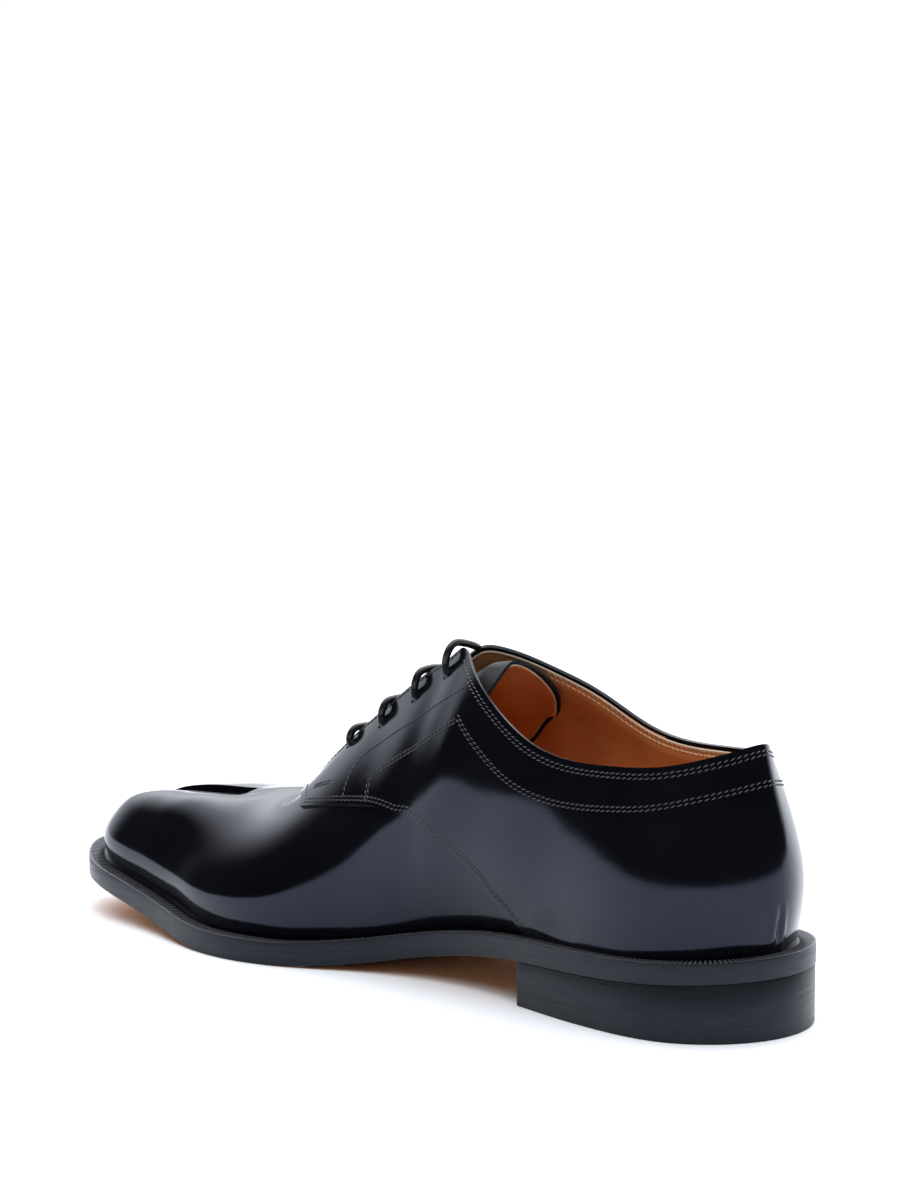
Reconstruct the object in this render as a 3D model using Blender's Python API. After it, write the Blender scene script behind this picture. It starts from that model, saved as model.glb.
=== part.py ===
import math

import bmesh
import bpy
import numpy as np
from mathutils import Vector

# Sizes are in millimetres, measured from the back edge of the heel along the shoe and from the
# centre line toward the inner side of the foot. This is a right shoe.
MM = 0.001
LENGTH = 298.0          # length of the sole
HEEL_CENTRE = 40.0      # point of the heel that stands on the origin
WALL = 1.6              # leather and lining of the vamp
LAP = 1.0               # extra thickness where the quarters lap over the vamp
SEAT = 0.3              # upper above the welt
JOINT = 0.1             # between flat layers of the bottom
OUTSOLE = 4.5           # outsole alone, without the welt
WELT_UNDER = 1.7        # welt under the wall of the upper
INSOLE_UNDER = 3.0      # edge of the insole, inward of the foot of the upper
INSOLE_RISE = 0.6       # insole above the welt's top face
LIFT = 5.0              # top lift
HEEL_INSET = 0.5        # heel edge, from the sole's edge
BREAST = 84.5           # heel breast, from the back
BREAST_HALF = 32.0      # half the width of the breast
BREAST_HOLLOW = 3.0     # curve of the breast
EYELET_RADIUS = 2.1
LACE_RADIUS = 1.25
LACE_START = 0.2        # end of a bar, outside the middle of the eyelet
LACE_OUT = 2.8          # where a bar bends up, outside the eyelet
LACE_LEAN = 0.6         # forward lean of a bar
LACE_SKEW = 3.5         # eyelets of the outer side, ahead of those of the inner side
TONGUE_THICK = 1.7
TONGUE_GAP = 0.6        # tongue below the upper's inner face
TONGUE_CROWN = 0.8      # rise of the tongue's middle between the facings
CLEFT = 8.0             # middle of the cleft, from the centre line
CLEFT_BACKWARD = 5.0    # foot of the cleft's floor, behind its lips
VAMP_CROWN = 0.5        # rise of the vamp's middle behind the cleft
NOTCH_DEPTH = 17.0      # notch in the sole at the cleft
NOTCH_WIDTH = 4.6

# Edge of the sole: from the back, half width on the inner side, half width on the outer side
SOLE_EDGE = (
    (0.0, 0.0, 0.0),
    (2.5, 12.4, 12.4),
    (9.4, 23.0, 23.0),
    (24.0, 32.2, 32.2),
    (47.0, 34.2, 34.8),
    (72.0, 31.6, 35.4),
    (92.0, 28.2, 36.2),
    (108.0, 26.2, 37.4),
    (125.0, 26.4, 39.2),
    (140.0, 29.6, 41.8),
    (155.0, 35.6, 45.0),
    (167.0, 42.0, 47.6),
    (181.0, 48.0, 50.4),
    (193.0, 50.6, 52.0),
    (205.0, 50.8, 52.8),
    (220.0, 48.6, 51.8),
    (235.0, 44.8, 48.8),
    (250.0, 42.0, 43.6),
    (264.0, 40.0, 36.4),
    (275.0, 37.4, 28.6),
    (284.0, 32.8, 19.4),
    (291.0, 26.4, 9.6),
    (296.0, 19.0, -1.6),
    (298.0, 10.0, -10.0),
)

# Side line of the bottom: from the back, height of the welt's top face, thickness of sole and welt
SIDE_LINE = (
    (0.0, 25.4, 6.8),
    (20.0, 24.3, 6.8),
    (40.0, 23.1, 6.9),
    (60.0, 22.3, 7.1),
    (80.0, 21.5, 7.3),
    (92.0, 20.6, 7.4),
    (104.0, 19.4, 7.5),
    (117.0, 17.5, 7.7),
    (130.0, 15.2, 7.9),
    (142.0, 12.7, 8.0),
    (155.0, 10.2, 8.0),
    (167.0, 8.6, 7.9),
    (178.0, 7.8, 7.8),
    (192.0, 7.8, 7.8),
    (206.0, 7.8, 7.8),
    (220.0, 8.9, 7.6),
    (231.0, 10.4, 7.4),
    (243.0, 12.3, 7.2),
    (256.0, 14.5, 7.0),
    (270.0, 16.6, 6.8),
    (284.0, 18.8, 6.8),
    (298.0, 20.9, 6.8),
)

# Welt seen outside the upper: from the back, width
WELT_SEEN = (
    (0.0, 5.9),
    (20.0, 5.9),
    (45.0, 5.3),
    (90.0, 5.2),
    (150.0, 5.5),
    (180.0, 6.2),
    (298.0, 6.2),
)

# Sections of the upper, inner side, from the back seam round to the cleft at the toe.
# along: place of the section; foot_s, foot_t: where it leaves the welt;
# top_s, top_t, top_z: its upper edge at collar, facing or cleft;
# in1, z1 to in3, z3: inward distance and height of three points between
INNER = (
    # along, foot_s, foot_t, top_s, top_t, top_z, in1, z1, in2, z2, in3, z3
    (0, 5.9, 0.0, 14.0, 0.0, 86.3, -2.2, 43.0, 0.6, 61.0, 4.6, 75.0),
    (14, 10.1, 11.9, 16.2, 6.7, 85.1, -2.2, 43.0, 1.0, 61.0, 5.2, 75.0),
    (29, 18.3, 22.0, 23.0, 13.8, 82.3, -2.0, 43.0, 1.3, 60.5, 5.4, 73.0),
    (46, 34.2, 28.4, 34.3, 21.1, 79.6, -1.6, 42.0, 0.8, 58.0, 3.9, 70.0),
    (64, 54.0, 28.9, 50.0, 23.9, 78.3, -1.6, 42.0, 0.0, 58.0, 2.8, 70.0),
    (82, 74.0, 26.2, 67.5, 24.8, 78.3, -2.6, 42.0, -2.0, 57.0, 0.0, 69.0),
    (98, 92.0, 23.0, 84.0, 24.7, 82.0, -5.4, 42.0, -5.8, 55.0, -3.9, 70.0),
    (113, 108.0, 20.8, 101.0, 21.8, 90.2, -7.0, 41.0, -8.2, 55.0, -6.0, 73.0),
    (125, 121.0, 20.6, 114.5, 16.2, 97.0, -7.6, 39.0, -9.3, 54.0, -6.2, 77.0),
    (132, 129.5, 21.6, 122.5, 10.8, 100.8, -7.2, 37.0, -9.0, 53.0, -3.6, 78.0),
    (138, 136.0, 23.0, 129.3, 6.5, 103.0, -6.2, 35.0, -8.0, 51.0, -1.2, 78.0),
    (144, 142.5, 25.0, 135.5, 6.2, 99.2, -5.2, 33.0, -6.8, 48.5, 0.8, 75.5),
    (152, 151.0, 28.0, 144.0, 6.2, 94.2, -4.0, 30.0, -4.8, 46.0, 3.2, 71.5),
    (164, 163.0, 33.0, 158.5, 6.2, 84.5, -2.6, 26.0, -1.6, 40.3, 8.6, 63.8),
    (177, 176.0, 39.4, 174.0, 6.2, 73.2, -1.9, 22.0, 0.8, 35.3, 14.6, 56.8),
    (190, 189.0, 43.6, 188.0, 6.4, 61.8, -1.7, 19.0, 2.6, 31.2, 18.2, 48.4),
    (203, 203.0, 44.7, 201.0, 7.0, 48.0, -1.6, 18.0, 3.5, 29.0, 20.0, 43.2),
    (217, 218.0, 42.8, 214.5, 9.0, 46.2, -1.6, 18.0, 3.8, 29.0, 17.5, 42.3),
    (231, 232.0, 39.1, 227.5, 11.5, 44.2, -1.5, 19.0, 3.0, 30.0, 13.5, 42.2),
    (244, 246.0, 36.4, 239.0, 12.0, 42.8, -1.4, 20.5, 2.4, 31.5, 11.0, 42.4),
    (256, 258.0, 34.6, 249.0, 12.0, 42.0, -1.3, 22.0, 2.4, 32.5, 10.8, 41.8),
    (267, 268.2, 32.9, 257.5, 12.0, 41.3, -1.2, 23.0, 2.5, 33.0, 10.4, 41.2),
    (276, 276.6, 30.0, 264.5, 12.0, 40.1, -1.1, 24.0, 2.4, 32.6, 9.6, 39.7),
    (284, 283.4, 25.2, 270.0, 12.0, 38.5, -1.0, 25.0, 2.2, 31.8, 8.6, 37.8),
    (291, 288.5, 19.5, 274.5, 12.0, 36.8, -0.9, 25.6, 2.0, 31.0, 7.2, 35.4),
    (297, 291.4, 12.4, 277.5, 12.0, 35.2, -0.8, 26.0, 1.8, 30.4, 6.0, 33.8),
)

# The same for the outer side
OUTER = (
    (0, 5.9, 0.0, 14.0, 0.0, 86.3, -2.2, 43.0, 0.6, 61.0, 4.6, 75.0),
    (14, 10.1, 11.9, 16.2, 6.7, 85.1, -2.2, 43.0, 1.0, 61.0, 5.2, 75.0),
    (29, 18.3, 22.0, 23.0, 13.8, 82.3, -2.0, 43.0, 1.3, 60.5, 5.4, 73.0),
    (46, 34.2, 28.7, 34.3, 21.1, 79.6, -1.6, 42.0, 0.9, 58.0, 4.1, 70.0),
    (64, 54.0, 29.8, 50.0, 23.9, 78.3, -1.6, 41.0, 0.4, 57.0, 3.4, 69.5),
    (82, 74.0, 30.2, 67.5, 24.8, 78.3, -1.7, 40.0, -0.4, 56.0, 2.6, 69.0),
    (98, 92.0, 30.9, 84.0, 24.7, 82.0, -2.0, 38.5, -1.2, 54.5, 1.9, 70.0),
    (113, 108.0, 31.9, 101.0, 21.8, 90.2, -2.2, 36.5, -1.4, 53.0, 2.4, 74.0),
    (125, 121.0, 33.2, 114.5, 16.2, 96.2, -2.3, 34.5, -1.1, 51.5, 4.2, 77.0),
    (132, 129.5, 34.3, 122.5, 10.8, 100.0, -2.3, 33.0, -0.7, 50.0, 7.4, 78.5),
    (138, 136.0, 35.3, 131.2, 6.6, 101.9, -2.2, 31.5, -0.2, 48.5, 9.2, 78.0),
    (144, 142.5, 36.5, 138.0, 6.2, 100.0, -2.1, 30.0, 0.0, 46.0, 10.4, 75.8),
    (152, 151.0, 38.2, 145.6, 6.2, 94.6, -2.0, 28.0, 0.8, 43.2, 12.2, 71.0),
    (164, 163.0, 40.7, 158.5, 6.2, 84.5, -1.9, 25.0, 2.0, 38.8, 15.4, 63.2),
    (177, 176.0, 43.2, 174.0, 6.2, 73.2, -1.8, 22.0, 3.2, 34.3, 18.0, 56.2),
    (190, 189.0, 45.2, 188.0, 6.4, 61.8, -1.7, 19.5, 4.2, 30.8, 20.0, 48.2),
    (203, 203.0, 46.3, 201.0, 7.0, 48.0, -1.6, 18.0, 5.2, 29.0, 21.5, 43.0),
    (217, 218.0, 45.7, 214.5, 3.2, 46.4, -1.6, 18.0, 5.6, 29.0, 21.5, 42.0),
    (231, 232.0, 43.2, 227.5, -2.8, 45.2, -1.5, 19.0, 5.4, 30.0, 22.0, 41.6),
    (244, 245.0, 39.0, 239.0, -4.2, 44.3, -1.4, 20.0, 5.2, 31.0, 20.5, 41.2),
    (256, 256.0, 33.6, 247.5, -4.4, 43.7, -1.2, 21.5, 4.8, 31.5, 18.0, 40.4),
    (266, 266.0, 27.7, 255.0, -4.4, 42.8, -1.0, 22.5, 4.0, 31.5, 15.0, 39.4),
    (275, 274.7, 20.4, 261.5, -4.4, 41.7, -0.9, 23.5, 3.2, 31.0, 12.0, 38.2),
    (283, 282.0, 11.9, 267.5, -4.4, 40.3, -0.8, 24.0, 2.6, 30.5, 10.0, 36.8),
    (289, 286.8, 4.3, 272.5, -4.4, 38.4, -0.8, 24.6, 2.2, 30.0, 8.0, 35.2),
    (295, 290.2, -3.8, 276.0, -4.4, 36.0, -0.8, 25.0, 1.8, 29.6, 6.0, 33.6),
)

# Seam of the quarters over the vamp: height share of the section, place along the shoe
SEAM = (
    (0.00, 92.0),
    (0.09, 97.0),
    (0.17, 103.0),
    (0.26, 109.0),
    (0.31, 114.0),
    (0.36, 122.5),
    (0.40, 134.5),
    (0.45, 147.0),
    (0.52, 160.5),
    (0.55, 167.0),
    (0.58, 174.0),
    (0.60, 180.5),
    (0.63, 187.5),
    (0.69, 189.5),
    (0.76, 192.5),
    (0.87, 197.5),
    (1.00, 202.5),
)

# Cleft, by the place of its lips: from the back, depth below the lips
CLEFT_DEPTH = (
    (200.0, 0.0),
    (224.0, 0.0),
    (228.5, 4.0),
    (233.0, 13.0),
    (240.0, 20.0),
    (250.0, 21.5),
    (262.0, 20.5),
    (278.0, 15.5),
)

# Tongue: place along the shoe, height share of its edge, how far its middle hangs
TONGUE_ROWS = (
    (138.0, 0.66, 5.4),
    (144.0, 0.66, 3.8),
    (152.0, 0.67, 1.4),
    (164.0, 0.70, 0.2),
    (177.0, 0.73, 0.0),
    (190.0, 0.77, 0.0),
    (199.0, 0.80, 0.0),
    (206.0, 0.83, 0.0),
    (212.0, 0.86, 0.0),
)
TONGUE_END = (
    # place from the back, height of the middle, half width, height of the edge
    (122.0, 97.2, 22.4, 73.5),
    (115.2, 98.6, 21.6, 78.6),
    (111.4, 99.4, 18.0, 87.4),
)

# Section of the cleft: share of the way across, share of the depth
CLEFT_SECTION = (
    (0.22, 0.16),
    (0.38, 0.80),
    (0.50, 1.00),
    (0.62, 0.80),
    (0.78, 0.16),
)

# Lace bars from the top: place along the shoe of the eyelet pair on the inner side, eyelet centre
# from the edge of the facing, rise of the bar above the eyelets
LACE_ROWS = (
    (141.5, 8.4, 10.0),
    (154.7, 8.6, 9.9),
    (167.3, 8.0, 9.6),
    (180.5, 5.8, 6.8),
)

# Arch of a lace bar: share of the way across, share of the rise
LACE_ARCH = (
    (0.07, 0.74),
    (0.24, 0.96),
    (0.50, 1.00),
    (0.78, 0.94),
    (0.94, 0.62),
)

EDGE_STEPS = 44
BACK_COLUMNS = 24
FRONT_COLUMNS = 18
HEIGHT_ROWS = 18
LACE_STEPS = 20


def spline(knots, values):
    """Smooth curve through the values at the knots."""
    x = np.asarray(knots, float)
    y = np.asarray(values, float)
    if y.ndim == 1:
        y = y[:, None]
    n = len(x)
    h = np.diff(x)
    matrix = np.zeros((n, n))
    right = np.zeros((n, y.shape[1]))
    matrix[0, 0] = 1.0
    matrix[-1, -1] = 1.0
    for i in range(1, n - 1):
        matrix[i, i - 1] = h[i - 1]
        matrix[i, i] = 2.0 * (h[i - 1] + h[i])
        matrix[i, i + 1] = h[i]
        right[i] = 6.0 * ((y[i + 1] - y[i]) / h[i] - (y[i] - y[i - 1]) / h[i - 1])
    bend = np.linalg.solve(matrix, right)

    def at(value):
        value = min(max(value, x[0]), x[-1])
        i = int(min(max(np.searchsorted(x, value) - 1, 0), n - 2))
        a = (x[i + 1] - value) / h[i]
        b = (value - x[i]) / h[i]
        curve = (a ** 3 - a) * bend[i] + (b ** 3 - b) * bend[i + 1]
        return a * y[i] + b * y[i + 1] + curve * h[i] ** 2 / 6.0

    return at


def line(rows, column):
    """Straight interpolation in one column of a table."""
    xs = [row[0] for row in rows]
    ys = [row[column] for row in rows]
    return lambda value: float(np.interp(value, xs, ys))


welt_seen = line(WELT_SEEN, 1)
welt_top = spline([row[0] for row in SIDE_LINE], [row[1] for row in SIDE_LINE])
sole_thick = spline([row[0] for row in SIDE_LINE], [row[2] for row in SIDE_LINE])


def top_height(s):
    return float(welt_top(s)[0])


def bottom_height(s):
    if 177.0 < s < 207.0:
        return 0.0
    return max(0.0, float(welt_top(s)[0] - sole_thick(s)[0]))


def outsole_top(s):
    return bottom_height(s) + OUTSOLE


def turn(s):
    """Angle of a place along the sole, so that its round ends are evenly divided."""
    return math.acos(min(max(1.0 - 2.0 * s / LENGTH, -1.0), 1.0))


edge_knots = [turn(row[0]) for row in SOLE_EDGE]
edge_inner = spline(edge_knots, [row[1] for row in SOLE_EDGE])
edge_outer = spline(edge_knots, [row[2] for row in SOLE_EDGE])


def sole_outline(count):
    """Closed outline of the sole, from the back along the inner side to the toe and back."""
    points = []
    for i in range(count):
        angle = math.pi * i / count
        points.append((LENGTH * (1.0 - math.cos(angle)) / 2.0, float(edge_inner(angle)[0])))
    for i in range(count, 0, -1):
        angle = math.pi * i / count
        points.append((LENGTH * (1.0 - math.cos(angle)) / 2.0, -float(edge_outer(angle)[0])))
    return np.array(points)


def inset(points, distance):
    """Outline moved inward."""
    ahead = np.roll(points, -1, axis=0) - np.roll(points, 1, axis=0)
    ahead /= np.linalg.norm(ahead, axis=1)[:, None]
    inward = np.stack([ahead[:, 1], -ahead[:, 0]], axis=1)
    return points + inward * np.broadcast_to(distance, (len(points),))[:, None]


def place(s, t, z):
    return ((s - HEEL_CENTRE) * MM, t * MM, z * MM)


def new_object(name, verts, faces, group):
    mesh = bpy.data.meshes.new(name)
    mesh.from_pydata(verts, [], faces)
    mesh.update()
    obj = bpy.data.objects.new(name, mesh)
    group.objects.link(obj)
    return obj


def face_out(obj):
    """Merge doubled points and turn every face outward."""
    work = bmesh.new()
    work.from_mesh(obj.data)
    bmesh.ops.remove_doubles(work, verts=work.verts, dist=0.000002)
    quads = [face for face in work.faces if len(face.verts) == 4]
    bmesh.ops.triangulate(work, faces=quads, quad_method="SHORT_EDGE")
    bmesh.ops.recalc_face_normals(work, faces=work.faces)
    work.to_mesh(obj.data)
    work.free()


def smooth(obj, degrees):
    for polygon in obj.data.polygons:
        polygon.use_smooth = True
    obj.data.set_sharp_from_angle(angle=math.radians(degrees))


def material(name, colour, roughness):
    made = bpy.data.materials.new(name)
    made.use_nodes = True
    shader = made.node_tree.nodes["Principled BSDF"]
    shader.inputs["Base Color"].default_value = (*colour, 1.0)
    shader.inputs["Roughness"].default_value = roughness
    return made


def finish(obj, colour, roughness, degrees=35.0):
    face_out(obj)
    smooth(obj, degrees)
    obj.data.materials.clear()
    obj.data.materials.append(material(obj.name, colour, roughness))


def plate(name, outline, low, high, group):
    """Layer of the bottom between two heights that follow the side line."""
    count = len(outline) // 2
    verts = [place(s, t, low(s)) for s, t in outline]
    verts += [place(s, t, high(s)) for s, t in outline]
    size = len(outline)
    faces = []
    for i in range(size):
        j = (i + 1) % size
        faces.append((i, j, size + j, size + i))
    for level in (0, size):
        faces.append((level, level + 1, level + size - 1))
        for i in range(1, count - 1):
            faces.append((level + i, level + i + 1, level + size - i - 1, level + size - i))
        faces.append((level + count - 1, level + count, level + count + 1))
    return new_object(name, verts, faces, group)


def ring(name, outside, inside, low, high, group):
    """Strip between two outlines."""
    size = len(outside)
    verts = []
    for loop, level in ((outside, low), (outside, high), (inside, high), (inside, low)):
        verts += [place(s, t, level(s)) for s, t in loop]
    faces = []
    for part in range(4):
        after = (part + 1) % 4
        for i in range(size):
            j = (i + 1) % size
            faces.append((part * size + i, part * size + j, after * size + j, after * size + i))
    return new_object(name, verts, faces, group)


def cut(obj, cutter):
    """Take the cutter away from the piece."""
    change = obj.modifiers.new("cut", "BOOLEAN")
    change.operation = "DIFFERENCE"
    change.solver = "EXACT"
    change.object = cutter
    graph = bpy.context.evaluated_depsgraph_get()
    mesh = bpy.data.meshes.new_from_object(obj.evaluated_get(graph))
    obj.modifiers.clear()
    obj.data = mesh


def notch_cutter(name, depth, width, group):
    """Round ended slot through the front of the bottom."""
    front = LENGTH + 12.0
    back = LENGTH - depth
    outline = [(front, CLEFT + width * 0.8)]
    for i in range(9):
        angle = math.pi * (0.5 + i / 8.0)
        outline.append((back + width / 2.0 * (1.0 + math.cos(angle)), CLEFT + width / 2.0 * math.sin(angle)))
    outline.append((front, CLEFT - width * 0.8))
    size = len(outline)
    verts = [place(s, t, -5.0) for s, t in outline] + [place(s, t, 45.0) for s, t in outline]
    faces = [tuple(range(size)), tuple(range(2 * size - 1, size - 1, -1))]
    for i in range(size):
        j = (i + 1) % size
        faces.append((i, size + i, size + j, j))
    made = new_object(name, verts, faces, group)
    face_out(made)
    made.hide_render = True
    made.display_type = "WIRE"
    return made


def section_rows(table, sign):
    """Five smooth lines along the shoe that carry the sections of one side."""
    feet = np.array([(row[1], row[2] * sign) for row in table])
    ahead = np.gradient(feet, axis=0)
    ahead[0] = (0.0, sign)
    ahead /= np.linalg.norm(ahead, axis=1)[:, None]
    inward = np.stack([ahead[:, 1], -ahead[:, 0]], axis=1) * sign
    levels = [[], [], [], [], []]
    for row, foot, ahead_here, inward_here in zip(table, feet, ahead, inward):
        top = np.array([row[3], row[4] * sign])
        foot_z = top_height(row[1]) + SEAT
        reach = float(np.dot(top - foot, inward_here))
        slide = float(np.dot(top - foot, ahead_here))
        steps = [(0.0, foot_z), (row[6], row[7]), (row[8], row[9]), (row[10], row[11]), (reach, row[5])]
        run = [0.0]
        for a, b in zip(steps, steps[1:]):
            run.append(run[-1] + math.hypot(b[0] - a[0], b[1] - a[1]))
        for level, (depth, z), far in zip(levels, steps, run):
            flat = foot + inward_here * depth + ahead_here * slide * far / run[-1]
            level.append((flat[0], flat[1], z))
    along = [row[0] for row in table]
    before = [-along[2], -along[1]]
    lines = []
    for level in levels:
        mirrored = [(level[i][0], -level[i][1], level[i][2]) for i in (2, 1)]
        lines.append(spline(before + along, mirrored + level))
    return lines, along[-1]


class Side:
    """One side of the upper."""

    def __init__(self, table, sign):
        self.levels, self.end = section_rows(table, sign)
        self.columns = {}

    def column(self, along):
        key = round(along, 4)
        if key not in self.columns:
            points = np.array([level(along) for level in self.levels])
            run = np.concatenate([[0.0], np.cumsum(np.linalg.norm(np.diff(points, axis=0), axis=1))])
            self.columns[key] = (spline(run / run[-1], points), run[-1])
        return self.columns[key]

    def point(self, along, share):
        return self.column(along)[0](share)

    def length(self, along):
        return self.column(along)[1]

    def normal(self, along, share):
        """Outward direction of the surface."""
        a = self.point(min(along + 0.5, self.end), share) - self.point(max(along - 0.5, 0.0), share)
        b = self.point(along, min(share + 0.01, 1.0)) - self.point(along, max(share - 0.01, 0.0))
        n = np.cross(a, b)
        n /= np.linalg.norm(n)
        centre = np.array([min(max(self.point(along, share)[0], 45.0), 245.0), 2.0, 30.0])
        if np.dot(n, self.point(along, share) - centre) < 0.0:
            n = -n
        return n


inner_side = Side(INNER, 1.0)
outer_side = Side(OUTER, -1.0)
seam_place = line(SEAM, 1)
cleft_depth = line(CLEFT_DEPTH, 1)


def seam_rows(side):
    """Points of the seam at even steps of its length, as height share and place along."""
    shares = np.linspace(0.0, 1.0, 201)
    points = np.array([side.point(seam_place(share), share) for share in shares])
    run = np.concatenate([[0.0], np.cumsum(np.linalg.norm(np.diff(points, axis=0), axis=1))])
    even = np.interp(np.linspace(0.0, run[-1], HEIGHT_ROWS + 1), run, shares)
    return [(float(share), seam_place(share)) for share in even]


def build_upper(group):
    """Vamp, quarters and cleft as one hollow shell."""
    shares = [j / HEIGHT_ROWS for j in range(HEIGHT_ROWS + 1)]
    base = []
    lifted = set()

    def add(point):
        base.append(tuple(point))
        return len(base) - 1

    back = [add(inner_side.point(0.0, share)) for share in shares]
    lifted.update(back)
    sheets = []
    quads = []
    for side in (inner_side, outer_side):
        seam = seam_rows(side)
        columns = [back]
        for i in range(1, BACK_COLUMNS + 1):
            part = i / BACK_COLUMNS
            column = []
            for share, (high, stop) in zip(shares, seam):
                column.append(add(side.point(stop * part, share + (high - share) * part)))
            columns.append(column)
            if i < BACK_COLUMNS:
                lifted.update(column)
        for i in range(1, FRONT_COLUMNS + 1):
            part = i / FRONT_COLUMNS
            column = []
            for share, (high, start) in zip(shares, seam):
                place_here = start + (side.end - start) * part
                column.append(add(side.point(place_here, high + (share - high) * part)))
            columns.append(column)
        sheets.append(columns)
        for i in range(len(columns) - 1):
            for j in range(HEIGHT_ROWS):
                quad = (columns[i][j], columns[i + 1][j], columns[i + 1][j + 1], columns[i][j + 1])
                quads.append((quad, i < BACK_COLUMNS))

    # lips of the cleft, from the throat along the top and down the front
    lips = []
    for columns in sheets:
        lip = [columns[i][HEIGHT_ROWS] for i in range(BACK_COLUMNS, BACK_COLUMNS + FRONT_COLUMNS)]
        lip += [columns[-1][j] for j in range(HEIGHT_ROWS, -1, -1)]
        lips.append(lip)
    strip = []
    for k, (a, b) in enumerate(zip(*lips)):
        one = np.array(base[a])
        two = np.array(base[b])
        middle = (one + two) / 2.0
        depth = cleft_depth(middle[0])
        down = max(0, k - FRONT_COLUMNS) / HEIGHT_ROWS
        floor_z = top_height(middle[0]) + SEAT
        low = middle.copy()
        low[2] = middle[2] - depth
        if depth > 0.0:
            low[0] = middle[0] - 1.5 * min(1.0, depth / 10.0) - CLEFT_BACKWARD * down
            low[2] = max(low[2], floor_z + 3.2 * (1.0 - down))
            if k == len(lips[0]) - 1:
                low[2] = top_height(low[0]) + SEAT
        row = [a]
        for share, sink in CLEFT_SECTION:
            here = one + (two - one) * share
            if depth == 0.0:
                here[2] += VAMP_CROWN * math.sin(math.pi * share)
            else:
                here[0] += (low[0] - middle[0]) * sink
                here[2] += (low[2] - middle[2]) * sink
            row.append(add(here))
        row.append(b)
        strip.append(row)
    for k in range(len(strip) - 1):
        for m in range(6):
            quads.append(((strip[k][m], strip[k][m + 1], strip[k + 1][m + 1], strip[k + 1][m]), False))

    # outward direction at every point of the sheet
    sheet = bmesh.new()
    points = [sheet.verts.new(point) for point in base]
    for quad, _ in quads:
        sheet.faces.new([points[i] for i in quad])
    bmesh.ops.recalc_face_normals(sheet, faces=sheet.faces)
    sheet.normal_update()
    heel = points[back[2]]
    if heel.normal.x > 0.0:
        bmesh.ops.reverse_faces(sheet, faces=sheet.faces)
        sheet.normal_update()
    normals = [np.array(point.normal) for point in points]
    sheet.free()

    base = np.array(base)
    outside = base.copy()
    for i in lifted:
        outside[i] += normals[i] * LAP
    inside = base - np.array(normals) * WALL
    feet = [column[0] for columns in sheets for column in columns] + strip[-1]
    for i in feet:
        outside[i, 2] = top_height(outside[i, 0]) + SEAT
        inside[i, 2] = top_height(inside[i, 0]) + SEAT
    verts = [tuple(point) for point in outside]
    inner_start = len(verts)
    verts += [tuple(point) for point in inside]
    raised = {}
    for columns in sheets:
        for i in columns[BACK_COLUMNS]:
            raised[i] = len(verts)
            point = base[i] + normals[i] * LAP
            if i == columns[BACK_COLUMNS][0]:
                point[2] = top_height(point[0]) + SEAT
            verts.append(tuple(point))
    faces = []
    for quad, is_back in quads:
        faces.append(tuple(raised.get(i, i) if is_back else i for i in quad))
        faces.append(tuple(inner_start + i for i in reversed(quad)))
    for columns in sheets:
        seam = columns[BACK_COLUMNS]
        for j in range(HEIGHT_ROWS):
            faces.append((raised[seam[j]], raised[seam[j + 1]], seam[j + 1], seam[j]))
        for end in (seam[0], seam[-1]):
            faces.append((raised[end], end, inner_start + end))
        for row in (0, HEIGHT_ROWS):
            stop = len(columns) - 1 if row == 0 else BACK_COLUMNS
            for i in range(stop):
                one, two = columns[i][row], columns[i + 1][row]
                high_one = raised.get(one, one) if i < BACK_COLUMNS else one
                high_two = raised.get(two, two) if i < BACK_COLUMNS else two
                faces.append((high_one, high_two, inner_start + two, inner_start + one))
    for row in (strip[0], strip[-1]):
        for one, two in zip(row, row[1:]):
            faces.append((one, two, inner_start + two, inner_start + one))
    return new_object("upper", [place(*point) for point in verts], faces, group)


def eyelet_places():
    """Centre and outward direction of every eyelet, as pairs from the top."""
    pairs = []
    for along, drop, rise in LACE_ROWS:
        pair = []
        for side, here in ((inner_side, along), (outer_side, along + LACE_SKEW)):
            share = 1.0 - drop / side.length(here)
            pair.append((side.point(here, share), side.normal(here, share)))
        pairs.append(pair)
    return pairs


def round_cutter(name, centre, direction, radius, depth, segments, group):
    """Cylinder to cut with, about a centre and along a direction."""
    mesh = bpy.data.meshes.new(name)
    work = bmesh.new()
    bmesh.ops.create_cone(work, cap_ends=True, segments=segments, radius1=radius * MM,
                          radius2=radius * MM, depth=depth * MM)
    turned = Vector(direction).to_track_quat("Z", "Y").to_matrix().to_4x4()
    turned.translation = Vector(place(*centre))
    bmesh.ops.transform(work, matrix=turned, verts=work.verts)
    work.to_mesh(mesh)
    work.free()
    obj = bpy.data.objects.new(name, mesh)
    group.objects.link(obj)
    obj.hide_render = True
    obj.display_type = "WIRE"
    return obj


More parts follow.
